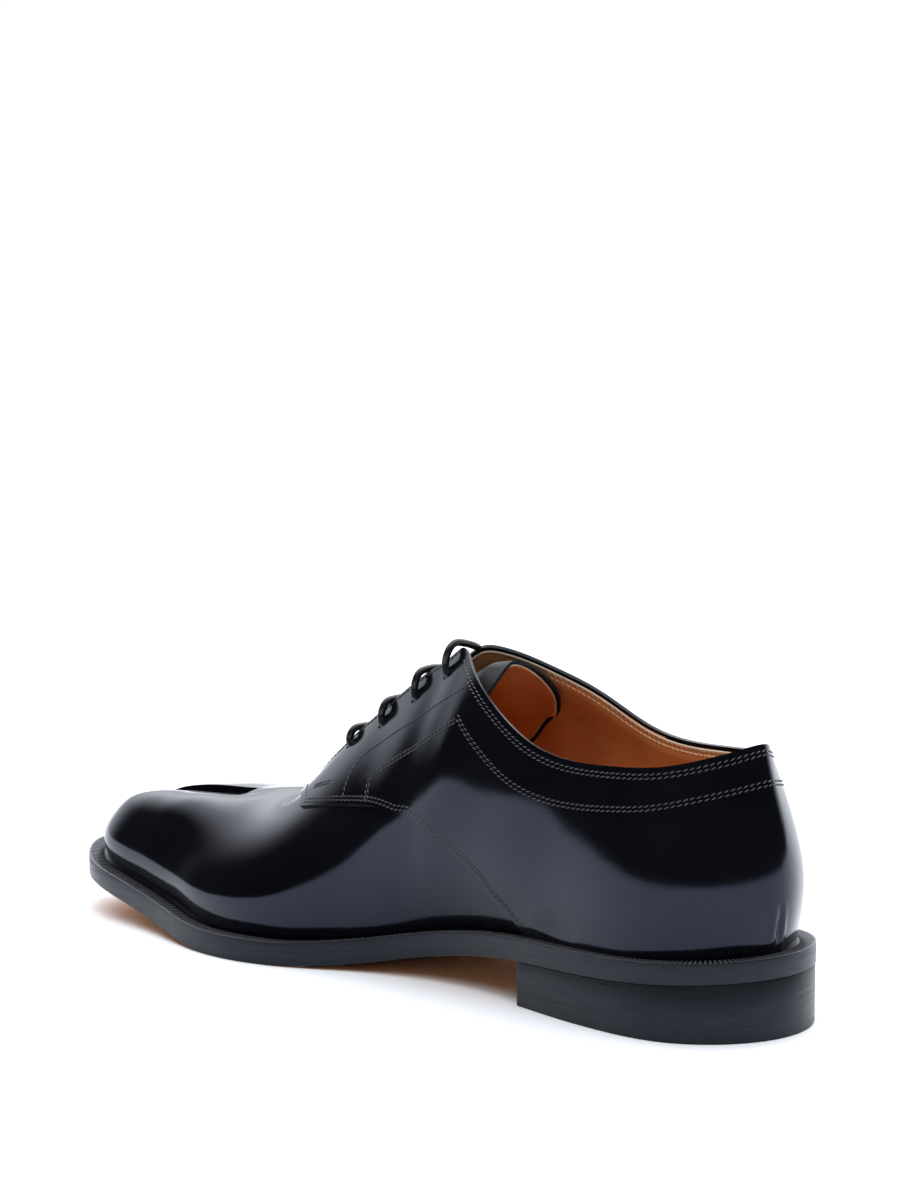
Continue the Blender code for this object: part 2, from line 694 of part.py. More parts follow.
def build_tongue(group):
    """Sheet under the facings, with a rounded free end."""
    rows = []
    half = (0.0, 0.3, 0.6, 1.0)
    for along, edge, hang in TONGUE_ROWS:
        row = []
        for side in (inner_side, outer_side):
            arm = []
            for part in half:
                share = edge + (1.0 - edge) * part
                drop = WALL + TONGUE_GAP
                here = side.point(along, share) - side.normal(along, share) * drop
                arm.append(here - np.array([0.0, 0.0, hang * part]))
            row.append(arm)
        middle = (row[0][-1] + row[1][-1]) / 2.0
        middle[2] += TONGUE_CROWN if along < 200.0 else 0.4 * TONGUE_CROWN
        rows.append(row[0] + [middle] + row[1][::-1])
    ends = []
    for s, high, wide, low in TONGUE_END:
        row = []
        for part in (1.0, 0.82, 0.6, 0.3, 0.0, -0.3, -0.6, -0.82, -1.0):
            fall = 1.0 - math.cos(part * math.pi / 2.0)
            row.append(np.array([s, part * wide, high - (high - low) * fall]))
        ends.append(row)
    rows = ends[::-1] + rows
    grid = np.array(rows)
    along = np.gradient(grid, axis=0)
    across = np.gradient(grid, axis=1)
    up = np.cross(across, along)
    up /= np.linalg.norm(up, axis=2)[:, :, None]
    up[up[:, :, 2] < 0.0] *= -1.0
    under = grid - up * TONGUE_THICK
    count, width = grid.shape[:2]
    verts = [place(*p) for p in grid.reshape(-1, 3)] + [place(*p) for p in under.reshape(-1, 3)]
    shift = count * width
    faces = []
    for i in range(count - 1):
        for j in range(width - 1):
            quad = (i * width + j, i * width + j + 1, (i + 1) * width + j + 1, (i + 1) * width + j)
            faces.append(quad)
            faces.append(tuple(shift + k for k in reversed(quad)))
    rim = [j for j in range(width)]
    rim += [i * width + width - 1 for i in range(1, count)]
    rim += [(count - 1) * width + j for j in range(width - 2, -1, -1)]
    rim += [i * width for i in range(count - 2, 0, -1)]
    for a, b in zip(rim, rim[1:] + rim[:1]):
        faces.append((a, b, shift + b, shift + a))
    return new_object("tongue", verts, faces, group)


def lace_bar(name, pair, rise, group):
    """One straight bar of the lace over the throat, from eyelet to eyelet."""
    (one, out_one), (two, out_two) = pair
    path = [one + out_one * LACE_START, one + out_one * LACE_OUT]
    for share, part in LACE_ARCH:
        path.append(one + (two - one) * share + np.array([LACE_LEAN, 0.0, rise * part]))
    path += [two + out_two * LACE_OUT, two + out_two * LACE_START]
    run = np.concatenate([[0.0], np.cumsum(np.linalg.norm(np.diff(np.array(path), axis=0), axis=1))])
    curve_at = spline(run, path)
    curve = bpy.data.curves.new(name, "CURVE")
    curve.dimensions = "3D"
    curve.bevel_depth = LACE_RADIUS * MM
    curve.bevel_resolution = 1
    curve.use_fill_caps = True
    track = curve.splines.new("POLY")
    track.points.add(LACE_STEPS)
    for i in range(LACE_STEPS + 1):
        track.points[i].co = (*place(*curve_at(run[-1] * i / LACE_STEPS)), 1.0)
    holder = bpy.data.objects.new(name + "_path", curve)
    group.objects.link(holder)
    graph = bpy.context.evaluated_depsgraph_get()
    mesh = bpy.data.meshes.new_from_object(holder.evaluated_get(graph))
    bpy.data.objects.remove(holder)
    obj = bpy.data.objects.new(name, mesh)
    mesh.name = name
    group.objects.link(obj)
    return obj


def heel_outline():
    """Outline of the heel: the sole's back with a straight front, ahead of the breast."""
    edge = sole_outline(EDGE_STEPS)
    whole = [tuple(point) for point in inset(edge, HEEL_INSET)]
    count = sum(1 for s, t in edge[1:EDGE_STEPS] if s < BREAST)
    front = BREAST + 6.0
    inner_end = (front, float(edge_inner(turn(front))[0]) - HEEL_INSET)
    outer_end = (front, HEEL_INSET - float(edge_outer(turn(front))[0]))
    return np.array(whole[:count + 1] + [inner_end, (front, 0.0), outer_end] + whole[-count:])


def breast_cutter(name, group):
    """Upright cylinder that leaves the hollow breast."""
    radius = (BREAST_HALF ** 2 + BREAST_HOLLOW ** 2) / (2.0 * BREAST_HOLLOW)
    return round_cutter(name, (BREAST - BREAST_HOLLOW + radius, 0.0, 10.0), (0.0, 0.0, 1.0), radius, 60.0, 160, group)


def main():
    for obj in list(bpy.data.objects):
        bpy.data.objects.remove(obj)
    shoe = bpy.data.collections.new("split_toe_derby")
    cutters = bpy.data.collections.new("cutters")
    bpy.context.scene.collection.children.link(shoe)
    bpy.context.scene.collection.children.link(cutters)
    black = (0.012, 0.012, 0.014)
    tan = (0.42, 0.2, 0.085)

    edge = sole_outline(EDGE_STEPS)
    notch = notch_cutter("notch", NOTCH_DEPTH, NOTCH_WIDTH, cutters)
    insole_notch = notch_cutter("insole_notch", NOTCH_DEPTH + 9.0, NOTCH_WIDTH + 9.0, cutters)

    outsole = plate("outsole", edge, bottom_height, outsole_top, shoe)
    face_out(outsole)
    cut(outsole, notch)
    finish(outsole, tan, 0.5)

    seen = np.array([welt_seen(s) for s, t in edge])
    welt = ring("welt", edge, inset(edge, seen + WELT_UNDER), lambda s: outsole_top(s) + JOINT, top_height, shoe)
    face_out(welt)
    cut(welt, notch)
    finish(welt, black, 0.45)

    insole = plate("insole", inset(edge, seen + INSOLE_UNDER), lambda s: outsole_top(s) + JOINT,
                   lambda s: top_height(s) + INSOLE_RISE, shoe)
    face_out(insole)
    cut(insole, insole_notch)
    finish(insole, tan, 0.6)

    heel_edge = heel_outline()
    breast = breast_cutter("breast", cutters)
    lift = plate("top_lift", heel_edge, lambda s: 0.0, lambda s: LIFT, shoe)
    face_out(lift)
    cut(lift, breast)
    finish(lift, black, 0.5)
    heel = plate("heel_stack", heel_edge, lambda s: LIFT + JOINT, lambda s: bottom_height(s) - JOINT, shoe)
    face_out(heel)
    cut(heel, breast)
    finish(heel, black, 0.4)

    upper = build_upper(shoe)
    face_out(upper)
    pairs = eyelet_places()
    for i, pair in enumerate(pairs):
        for j, (centre, direction) in enumerate(pair):
            name = "eyelet_%d_%d" % (i, j)
            cut(upper, round_cutter(name, centre, direction, EYELET_RADIUS, 9.0, 14, cutters))
    finish(upper, black, 0.22)

    finish(build_tongue(shoe), black, 0.35)
    for i, pair in enumerate(pairs):
        finish(lace_bar("lace_bar_%d" % (i + 1), pair, LACE_ROWS[i][2], shoe), black, 0.6, 60.0)


main()
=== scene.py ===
import math

import bmesh
import bpy
import numpy as np
from mathutils import Matrix, Vector


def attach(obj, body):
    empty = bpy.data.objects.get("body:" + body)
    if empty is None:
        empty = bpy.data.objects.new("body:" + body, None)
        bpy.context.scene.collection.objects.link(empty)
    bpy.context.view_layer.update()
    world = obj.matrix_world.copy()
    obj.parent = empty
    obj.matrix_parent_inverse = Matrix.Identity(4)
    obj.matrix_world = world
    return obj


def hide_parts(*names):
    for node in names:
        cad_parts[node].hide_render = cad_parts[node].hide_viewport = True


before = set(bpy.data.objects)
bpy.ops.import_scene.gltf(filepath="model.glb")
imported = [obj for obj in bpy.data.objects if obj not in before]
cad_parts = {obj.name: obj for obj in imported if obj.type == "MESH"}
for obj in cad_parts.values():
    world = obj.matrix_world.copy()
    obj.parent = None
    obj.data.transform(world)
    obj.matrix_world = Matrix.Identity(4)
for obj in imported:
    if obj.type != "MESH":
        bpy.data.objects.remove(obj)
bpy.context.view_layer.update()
print("frame:", ", ".join(sorted(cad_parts)))

# sizes in millimetres: s from the heel's back to the toe, t to the inner side, z up; a right shoe
shoe = {
    "length": 298.0,
    "origin": 40.0,        # s of the frame's origin
    "wall": 1.6,           # vamp with its lining
    "lap": 1.0,            # quarters over the vamp
    "seat": 0.3,           # upper above the welt
    "foot": -0.42,         # its lower edge in the recess of the welt
    "outsole": 4.5,
    "joint": 0.1,
    "lift": 5.0,
    "breast": 84.5,
    "cleft": 8.0,          # t of the cleft
}

# edge of the sole: s, half width inside, half width outside
soleEdge = (
    (0.0, 0.0, 0.0), (2.5, 12.4, 12.4), (9.4, 23.0, 23.0), (24.0, 32.2, 32.2), (47.0, 34.2, 34.8),
    (72.0, 31.6, 35.4), (92.0, 28.2, 36.2), (108.0, 26.2, 37.4), (125.0, 26.4, 39.2), (140.0, 29.6, 41.8),
    (155.0, 35.6, 45.0), (167.0, 42.0, 47.6), (181.0, 48.0, 50.4), (193.0, 50.6, 52.0), (205.0, 50.8, 52.8),
    (220.0, 48.6, 51.8), (235.0, 44.8, 48.8), (250.0, 42.0, 43.6), (264.0, 40.0, 36.4), (275.0, 37.4, 28.6),
    (284.0, 32.8, 19.4), (291.0, 26.4, 9.6), (296.0, 19.0, -1.6), (298.0, 10.0, -10.0),
)

# side line of the bottom: s, top of the welt, thickness of sole and welt
sideLine = (
    (0.0, 25.4, 6.8), (20.0, 24.3, 6.8), (40.0, 23.1, 6.9), (60.0, 22.3, 7.1), (80.0, 21.5, 7.3),
    (92.0, 20.6, 7.4), (104.0, 19.4, 7.5), (117.0, 17.5, 7.7), (130.0, 15.2, 7.9), (142.0, 12.7, 8.0),
    (155.0, 10.2, 8.0), (167.0, 8.6, 7.9), (178.0, 7.8, 7.8), (192.0, 7.8, 7.8), (206.0, 7.8, 7.8),
    (220.0, 8.9, 7.6), (231.0, 10.4, 7.4), (243.0, 12.3, 7.2), (256.0, 14.5, 7.0), (270.0, 16.6, 6.8),
    (284.0, 18.8, 6.8), (298.0, 20.9, 6.8),
)

# welt that shows outside the upper: s, width
weltSeen = ((0.0, 5.9), (20.0, 5.9), (45.0, 5.3), (90.0, 5.2), (150.0, 5.5), (180.0, 6.2), (298.0, 6.2))

# sections of the upper from the back seam to the cleft, as in the solids:
# place along, foot s and t, top s t z, then inward distance and height of three points between
backSections = (
    (0, 5.9, 0.0, 14.0, 0.0, 86.3, -2.2, 43.0, 0.6, 61.0, 4.6, 75.0),
    (14, 10.1, 11.9, 16.2, 6.7, 85.1, -2.2, 43.0, 1.0, 61.0, 5.2, 75.0),
    (29, 18.3, 22.0, 23.0, 13.8, 82.3, -2.0, 43.0, 1.3, 60.5, 5.4, 73.0),
)
innerSections = backSections + (
    (46, 34.2, 28.4, 34.3, 21.1, 79.6, -1.6, 42.0, 0.8, 58.0, 3.9, 70.0),
    (64, 54.0, 28.9, 50.0, 23.9, 78.3, -1.6, 42.0, 0.0, 58.0, 2.8, 70.0),
    (82, 74.0, 26.2, 67.5, 24.8, 78.3, -2.6, 42.0, -2.0, 57.0, 0.0, 69.0),
    (98, 92.0, 23.0, 84.0, 24.7, 82.0, -5.4, 42.0, -5.8, 55.0, -3.9, 70.0),
    (113, 108.0, 20.8, 101.0, 21.8, 90.2, -7.0, 41.0, -8.2, 55.0, -6.0, 73.0),
    (125, 121.0, 20.6, 114.5, 16.2, 97.0, -7.6, 39.0, -9.3, 54.0, -6.2, 77.0),
    (132, 129.5, 21.6, 122.5, 10.8, 100.8, -7.2, 37.0, -9.0, 53.0, -3.6, 78.0),
    (138, 136.0, 23.0, 129.3, 6.5, 103.0, -6.2, 35.0, -8.0, 51.0, -1.2, 78.0),
    (144, 142.5, 25.0, 135.5, 6.2, 99.2, -5.2, 33.0, -6.8, 48.5, 0.8, 75.5),
    (152, 151.0, 28.0, 144.0, 6.2, 94.2, -4.0, 30.0, -4.8, 46.0, 3.2, 71.5),
    (164, 163.0, 33.0, 158.5, 6.2, 84.5, -2.6, 26.0, -1.6, 40.3, 8.6, 63.8),
    (177, 176.0, 39.4, 174.0, 6.2, 73.2, -1.9, 22.0, 0.8, 35.3, 14.6, 56.8),
    (190, 189.0, 43.6, 188.0, 6.4, 61.8, -1.7, 19.0, 2.6, 31.2, 18.2, 48.4),
    (203, 203.0, 44.7, 201.0, 7.0, 48.0, -1.6, 18.0, 3.5, 29.0, 20.0, 43.2),
    (217, 218.0, 42.8, 214.5, 9.0, 46.2, -1.6, 18.0, 3.8, 29.0, 17.5, 42.3),
    (231, 232.0, 39.1, 227.5, 11.5, 44.2, -1.5, 19.0, 3.0, 30.0, 13.5, 42.2),
    (244, 246.0, 36.4, 239.0, 12.0, 42.8, -1.4, 20.5, 2.4, 31.5, 11.0, 42.4),
    (256, 258.0, 34.6, 249.0, 12.0, 42.0, -1.3, 22.0, 2.4, 32.5, 10.8, 41.8),
    (267, 268.2, 32.9, 257.5, 12.0, 41.3, -1.2, 23.0, 2.5, 33.0, 10.4, 41.2),
    (276, 276.6, 30.0, 264.5, 12.0, 40.1, -1.1, 24.0, 2.4, 32.6, 9.6, 39.7),
    (284, 283.4, 25.2, 270.0, 12.0, 38.5, -1.0, 25.0, 2.2, 31.8, 8.6, 37.8),
    (291, 288.5, 19.5, 274.5, 12.0, 36.8, -0.9, 25.6, 2.0, 31.0, 7.2, 35.4),
    (297, 291.4, 12.4, 277.5, 12.0, 35.2, -0.8, 26.0, 1.8, 30.4, 6.0, 33.8),
)
outerSections = backSections + (
    (46, 34.2, 28.7, 34.3, 21.1, 79.6, -1.6, 42.0, 0.9, 58.0, 4.1, 70.0),
    (64, 54.0, 29.8, 50.0, 23.9, 78.3, -1.6, 41.0, 0.4, 57.0, 3.4, 69.5),
    (82, 74.0, 30.2, 67.5, 24.8, 78.3, -1.7, 40.0, -0.4, 56.0, 2.6, 69.0),
    (98, 92.0, 30.9, 84.0, 24.7, 82.0, -2.0, 38.5, -1.2, 54.5, 1.9, 70.0),
    (113, 108.0, 31.9, 101.0, 21.8, 90.2, -2.2, 36.5, -1.4, 53.0, 2.4, 74.0),
    (125, 121.0, 33.2, 114.5, 16.2, 96.2, -2.3, 34.5, -1.1, 51.5, 4.2, 77.0),
    (132, 129.5, 34.3, 122.5, 10.8, 100.0, -2.3, 33.0, -0.7, 50.0, 7.4, 78.5),
    (138, 136.0, 35.3, 131.2, 6.6, 101.9, -2.2, 31.5, -0.2, 48.5, 9.2, 78.0),
    (144, 142.5, 36.5, 138.0, 6.2, 100.0, -2.1, 30.0, 0.0, 46.0, 10.4, 75.8),
    (152, 151.0, 38.2, 145.6, 6.2, 94.6, -2.0, 28.0, 0.8, 43.2, 12.2, 71.0),
    (164, 163.0, 40.7, 158.5, 6.2, 84.5, -1.9, 25.0, 2.0, 38.8, 15.4, 63.2),
    (177, 176.0, 43.2, 174.0, 6.2, 73.2, -1.8, 22.0, 3.2, 34.3, 18.0, 56.2),
    (190, 189.0, 45.2, 188.0, 6.4, 61.8, -1.7, 19.5, 4.2, 30.8, 20.0, 48.2),
    (203, 203.0, 46.3, 201.0, 7.0, 48.0, -1.6, 18.0, 5.2, 29.0, 21.5, 43.0),
    (217, 218.0, 45.7, 214.5, 3.2, 46.4, -1.6, 18.0, 5.6, 29.0, 21.5, 42.0),
    (231, 232.0, 43.2, 227.5, -2.8, 45.2, -1.5, 19.0, 5.4, 30.0, 22.0, 41.6),
    (244, 245.0, 39.0, 239.0, -4.2, 44.3, -1.4, 20.0, 5.2, 31.0, 20.5, 41.2),
    (256, 256.0, 33.6, 247.5, -4.4, 43.7, -1.2, 21.5, 4.8, 31.5, 18.0, 40.4),
    (266, 266.0, 27.7, 255.0, -4.4, 42.8, -1.0, 22.5, 4.0, 31.5, 15.0, 39.4),
    (275, 274.7, 20.4, 261.5, -4.4, 41.7, -0.9, 23.5, 3.2, 31.0, 12.0, 38.2),
    (283, 282.0, 11.9, 267.5, -4.4, 40.3, -0.8, 24.0, 2.6, 30.5, 10.0, 36.8),
    (289, 286.8, 4.3, 272.5, -4.4, 38.4, -0.8, 24.6, 2.2, 30.0, 8.0, 35.2),
    (295, 290.2, -3.8, 276.0, -4.4, 36.0, -0.8, 25.0, 1.8, 29.6, 6.0, 33.6),
)

# front edge of the quarters: height share of the section, place along
seamLine = (
    (0.00, 92.0), (0.09, 97.0), (0.17, 103.0), (0.26, 109.0), (0.31, 114.0), (0.36, 122.5), (0.40, 134.5),
    (0.45, 147.0), (0.52, 160.5), (0.55, 167.0), (0.58, 174.0), (0.60, 180.5), (0.63, 187.5), (0.69, 189.5),
    (0.76, 192.5), (0.87, 197.5), (1.00, 202.5),
)

# cleft: s of its lips, depth
cleftDepth = (
    (200.0, 0.0), (228.3, 0.0), (229.2, 5.0), (231.0, 10.0), (235.0, 15.0), (241.0, 20.0), (250.0, 21.5),
    (262.0, 20.5), (278.0, 15.5),
)


def toFrame(points):
    # shoe millimetres to frame metres
    points = np.asarray(points, float)
    return (points - np.array([shoe["origin"], 0.0, 0.0])) * 0.001


def column(table, index):
    return [row[index] for row in table]


def smoothCurve(knots, values):
    # natural cubic curve through the values, for whole arrays of places
    x = np.asarray(knots, float)
    y = np.asarray(values, float).reshape(len(x), -1)
    h = np.diff(x)
    matrix = np.zeros((len(x), len(x)))
    right = np.zeros_like(y)
    matrix[0, 0] = matrix[-1, -1] = 1.0
    for i in range(1, len(x) - 1):
        matrix[i, i - 1:i + 2] = h[i - 1], 2.0 * (h[i - 1] + h[i]), h[i]
        right[i] = 6.0 * ((y[i + 1] - y[i]) / h[i] - (y[i] - y[i - 1]) / h[i - 1])
    bend = np.linalg.solve(matrix, right)

    def at(place):
        place = np.clip(np.atleast_1d(np.asarray(place, float)), x[0], x[-1])
        i = np.clip(np.searchsorted(x, place) - 1, 0, len(x) - 2)
        a = ((x[i + 1] - place) / h[i])[:, None]
        b = 1.0 - a
        curve = (a ** 3 - a) * bend[i] + (b ** 3 - b) * bend[i + 1]
        return a * y[i] + b * y[i + 1] + curve * (h[i] ** 2)[:, None] / 6.0

    return at


def distances(points):
    # from the first point along a line
    return np.concatenate([[0.0], np.cumsum(np.linalg.norm(np.diff(points, axis=0), axis=1))])


def pointsAt(places, run, line):
    return np.stack([np.interp(places, run, values) for values in np.transpose(line)], axis=-1)


def inwardOf(ahead):
    return np.stack([ahead[:, 1], -ahead[:, 0]], axis=1)


def unit(vectors):
    return vectors / np.maximum(np.linalg.norm(vectors, axis=-1, keepdims=True), 1e-9)


def smoothStep(value):
    value = np.clip(value, 0.0, 1.0)
    return value * value * (3.0 - 2.0 * value)


topLine = smoothCurve(column(sideLine, 0), column(sideLine, 1))
thickLine = smoothCurve(column(sideLine, 0), column(sideLine, 2))


def weltTop(s):
    return topLine(s)[:, 0]


def soleBottom(s):
    s = np.atleast_1d(np.asarray(s, float))
    low = np.maximum(0.0, topLine(s)[:, 0] - thickLine(s)[:, 0])
    return np.where((s > 177.0) & (s < 207.0), 0.0, low)


def soleTop(s):
    return soleBottom(s) + shoe["outsole"]


def weltWidth(s):
    return np.interp(s, column(weltSeen, 0), column(weltSeen, 1))


def makeSide(table, sign):
    # five smooth lines along the shoe that carry the sections of one side
    feet = np.array([(row[1], row[2] * sign) for row in table])
    ahead = np.gradient(feet, axis=0)
    ahead[0] = (0.0, sign)
    ahead = unit(ahead)
    inward = inwardOf(ahead) * sign
    levels = [[] for i in range(5)]
    for row, foot, front, inside in zip(table, feet, ahead, inward):
        top = np.array([row[3], row[4] * sign])
        reach = float(np.dot(top - foot, inside))
        slide = float(np.dot(top - foot, front))
        footZ = float(weltTop(row[1])[0]) + shoe["seat"]
        steps = np.array([(0.0, footZ), row[6:8], row[8:10], row[10:12], (reach, row[5])])
        run = distances(steps)
        for level, (depth, z), far in zip(levels, steps, run / run[-1]):
            flat = foot + inside * depth + front * slide * far
            level.append((flat[0], flat[1], z))
    along = column(table, 0)
    lines = []
    for level in levels:
        mirrored = [(level[i][0], -level[i][1], level[i][2]) for i in (2, 1)]
        lines.append(smoothCurve([-along[2], -along[1]] + along, mirrored + level))
    return {"lines": lines, "end": float(along[-1]), "sign": sign}


def sidePoints(side, along, share):
    along = np.asarray(along, float)
    share = np.clip(np.asarray(share, float), 0.0, 1.0)
    knots = np.stack([line(along) for line in side["lines"]], axis=1)
    step = np.linalg.norm(np.diff(knots, axis=1), axis=2)
    h = step / step.sum(axis=1, keepdims=True)
    place = np.concatenate([np.zeros((len(along), 1)), np.cumsum(h, axis=1)], axis=1)
    matrix = np.zeros((len(along), 3, 3))
    slope = np.diff(knots, axis=1) / h[:, :, None]
    right = 6.0 * np.diff(slope, axis=1)
    for i in range(3):
        matrix[:, i, i] = 2.0 * (h[:, i] + h[:, i + 1])
    for i in range(2):
        matrix[:, i, i + 1] = matrix[:, i + 1, i] = h[:, i + 1]
    bend = np.zeros_like(knots)
    bend[:, 1:4] = np.linalg.solve(matrix, right)
    n = np.arange(len(along))
    i = np.clip((share[:, None] >= place).sum(axis=1) - 1, 0, 3)
    a = ((place[n, i + 1] - share) / h[n, i])[:, None]
    b = 1.0 - a
    curve = (a ** 3 - a) * bend[n, i] + (b ** 3 - b) * bend[n, i + 1]
    return a * knots[n, i] + b * knots[n, i + 1] + curve * (h[n, i] ** 2)[:, None] / 6.0


def sideLength(side, along):
    knots = np.stack([line(np.atleast_1d(along)) for line in side["lines"]], axis=1)
    return np.linalg.norm(np.diff(knots, axis=1), axis=2).sum(axis=1)


def sideNormals(side, along, share):
    low, high = np.maximum(share - 0.01, 0.0), np.minimum(share + 0.01, 1.0)
    a = sidePoints(side, np.minimum(along + 0.5, side["end"]), share) - sidePoints(side, along - 0.5, share)
    b = sidePoints(side, along, high) - sidePoints(side, along, low)
    return unit(np.cross(a, b)) * -side["sign"]


innerSide = makeSide(innerSections, 1.0)
outerSide = makeSide(outerSections, -1.0)
bothSides = (("inner", innerSide), ("outer", outerSide))


def evenSeam(side):
    # the seam at even steps of its length: row 0 to 1, height share, place along
    share = np.linspace(0.0, 1.0, 401)
    along = np.interp(share, column(seamLine, 0), column(seamLine, 1))
    run = distances(sidePoints(side, along, share))
    return run / run[-1], share, along


for name, side in bothSides:
    side["seam"] = evenSeam(side)


def seamAt(side, row):
    run, share, along = side["seam"]
    return np.interp(row, run, share), np.interp(row, run, along)


def linked(name, data):
    obj = bpy.data.objects.new(name, data)
    bpy.context.scene.collection.objects.link(obj)
    return obj


def meshObject(name, bm):
    mesh = bpy.data.meshes.new(name)
    bm.to_mesh(mesh)
    bm.free()
    return linked(name, mesh)


# camera at the photograph's angle
camera = {
    "target": (120.0, 0.0, 40.0),   # shoe point on the lens axis
    "turn": 44.8,                   # degrees behind the inner side
    "rise": 11.67,
    "distance": 1300.0,
    "focal": 4126.2,                # pixels of the 899 x 1200 frame
    "centre": (501.92, 847.63),
    "frame": (899.0, 1200.0),
    "sensor": 36.0,
}


def setCamera():
    a, e = math.radians(camera["turn"]), math.radians(camera["rise"])
    right = Vector((-math.cos(a), -math.sin(a), 0.0))
    back = Vector((-math.sin(a) * math.cos(e), math.cos(a) * math.cos(e), math.sin(e)))
    up = back.cross(right)
    data = bpy.data.cameras.new("camera")
    wide, high = camera["frame"]
    data.sensor_width = camera["sensor"]
    data.lens = camera["focal"] / high * camera["sensor"]
    data.shift_x = (wide / 2.0 - camera["centre"][0]) / high
    data.shift_y = (camera["centre"][1] - high / 2.0) / high
    data.clip_start = 0.05
    holder = linked("camera", data)
    place = Matrix((right, up, back)).transposed().to_4x4()
    place.translation = Vector(toFrame(camera["target"])) + back * camera["distance"] * 0.001
    holder.matrix_world = place
    bpy.context.scene.camera = holder
    return back


cameraBack = setCamera()
print("camera set")


# materials: every one reads Object coordinates in metres
def newMaterial(name, colour, roughness):
    made = bpy.data.materials.new(name)
    made.use_nodes = True
    tree = made.node_tree
    shader = tree.nodes["Principled BSDF"]
    shader.inputs["Base Color"].default_value = (*colour, 1.0)
    shader.inputs["Roughness"].default_value = roughness
    where = tree.nodes.new("ShaderNodeTexCoord")
    return made, tree, shader, where.outputs["Object"]


def noiseAt(tree, where, scale, detail=2.0, stretch=None):
    noise = tree.nodes.new("ShaderNodeTexNoise")
    noise.inputs["Scale"].default_value = scale
    noise.inputs["Detail"].default_value = detail
    if stretch:
        mapping = tree.nodes.new("ShaderNodeMapping")
        mapping.inputs["Scale"].default_value = stretch
        tree.links.new(where, mapping.inputs["Vector"])
        where = mapping.outputs["Vector"]
    tree.links.new(where, noise.inputs["Vector"])
    return noise.outputs["Fac"]


def spread(tree, value, low, high, start=(0.3, 0.7), kind="LINEAR"):
    # a value, most often noise, spread between two numbers
    node = tree.nodes.new("ShaderNodeMapRange")
    node.interpolation_type = kind
    for socket, number in zip(("From Min", "From Max", "To Min", "To Max"), (*start, low, high)):
        node.inputs[socket].default_value = number
    tree.links.new(value, node.inputs["Value"])
    return node.outputs["Result"]


def tint(tree, value, first, second, start=(0.3, 0.7), kind="LINEAR"):
    ramp = tree.nodes.new("ShaderNodeValToRGB")
    ramp.color_ramp.interpolation = kind
    for element, place, colour in zip(ramp.color_ramp.elements, start, (first, second)):
        element.position = place
        element.color = (*colour, 1.0)
    tree.links.new(value, ramp.inputs["Fac"])
    return ramp.outputs["Color"]


def bumps(tree, shader, layers):
    # layers of (height value, depth in metres), one bump on the next
    normal = None
    for height, depth in layers:
        bump = tree.nodes.new("ShaderNodeBump")
        bump.inputs["Strength"].default_value = 1.0
        bump.inputs["Distance"].default_value = depth
        tree.links.new(height, bump.inputs["Height"])
        if normal:
            tree.links.new(normal, bump.inputs["Normal"])
        normal = bump.outputs["Normal"]
    tree.links.new(normal, shader.inputs["Normal"])


calf = {
    "colour": (0.0040, 0.0043, 0.0060),
    "deep": (0.0026, 0.0028, 0.0040),
    "polish": (0.62, 0.70, 1.0),
    "rough": (0.09, 0.13),
    "coat": 0.03,
    "ior": 1.43,
}


def polishedCalf(name):
    made, tree, shader, where = newMaterial(name, calf["colour"], calf["rough"][0])
    shader.inputs["IOR"].default_value = calf["ior"]
    shader.inputs["Specular Tint"].default_value = (*calf["polish"], 1.0)
    shader.inputs["Coat Weight"].default_value = calf["coat"]
    shader.inputs["Coat Roughness"].default_value = 0.06
    patch = noiseAt(tree, where, 35.0, 3.0)
    tree.links.new(tint(tree, patch, calf["deep"], calf["colour"]), shader.inputs["Base Color"])
    tree.links.new(spread(tree, patch, *calf["rough"]), shader.inputs["Roughness"])
    pores = noiseAt(tree, where, 2600.0, 2.0)
    hand = noiseAt(tree, where, 90.0, 1.0)
    bumps(tree, shader, [(hand, 0.00006), (pores, 0.000012)])
    return made


def tanCalf(name, light, dark, rough):
    made, tree, shader, where = newMaterial(name, light, rough)
    patch = noiseAt(tree, where, 60.0, 4.0)
    tree.links.new(tint(tree, patch, dark, light), shader.inputs["Base Color"])
    wear = noiseAt(tree, where, 240.0, 3.0)
    tree.links.new(spread(tree, wear, rough - 0.08, rough + 0.08), shader.inputs["Roughness"])
    bumps(tree, shader, [(noiseAt(tree, where, 1500.0, 3.0), 0.00005)])
    return made


def waxedEdge(name, colour, rough, shine=0.34):
    # black edge ink over layered leather: faint level streaks
    made, tree, shader, where = newMaterial(name, colour, rough)
    shader.inputs["Specular IOR Level"].default_value = shine
    shader.inputs["Specular Tint"].default_value = (0.74, 0.84, 1.0, 1.0)
    streaks = noiseAt(tree, where, 60.0, 4.0, (1.0, 1.0, 22.0))
    tree.links.new(spread(tree, streaks, rough - 0.07, rough + 0.09), shader.inputs["Roughness"])
    bumps(tree, shader, [(streaks, 0.00003), (noiseAt(tree, where, 1400.0, 2.0), 0.00002)])
    return made


def threadFinish(name, colour, rough):
    made, tree, shader, where = newMaterial(name, colour, rough)
    twist = noiseAt(tree, where, 3000.0, 2.0)
    tree.links.new(spread(tree, twist, rough - 0.1, rough + 0.12), shader.inputs["Roughness"])
    bumps(tree, shader, [(twist, 0.00004)])
    return made


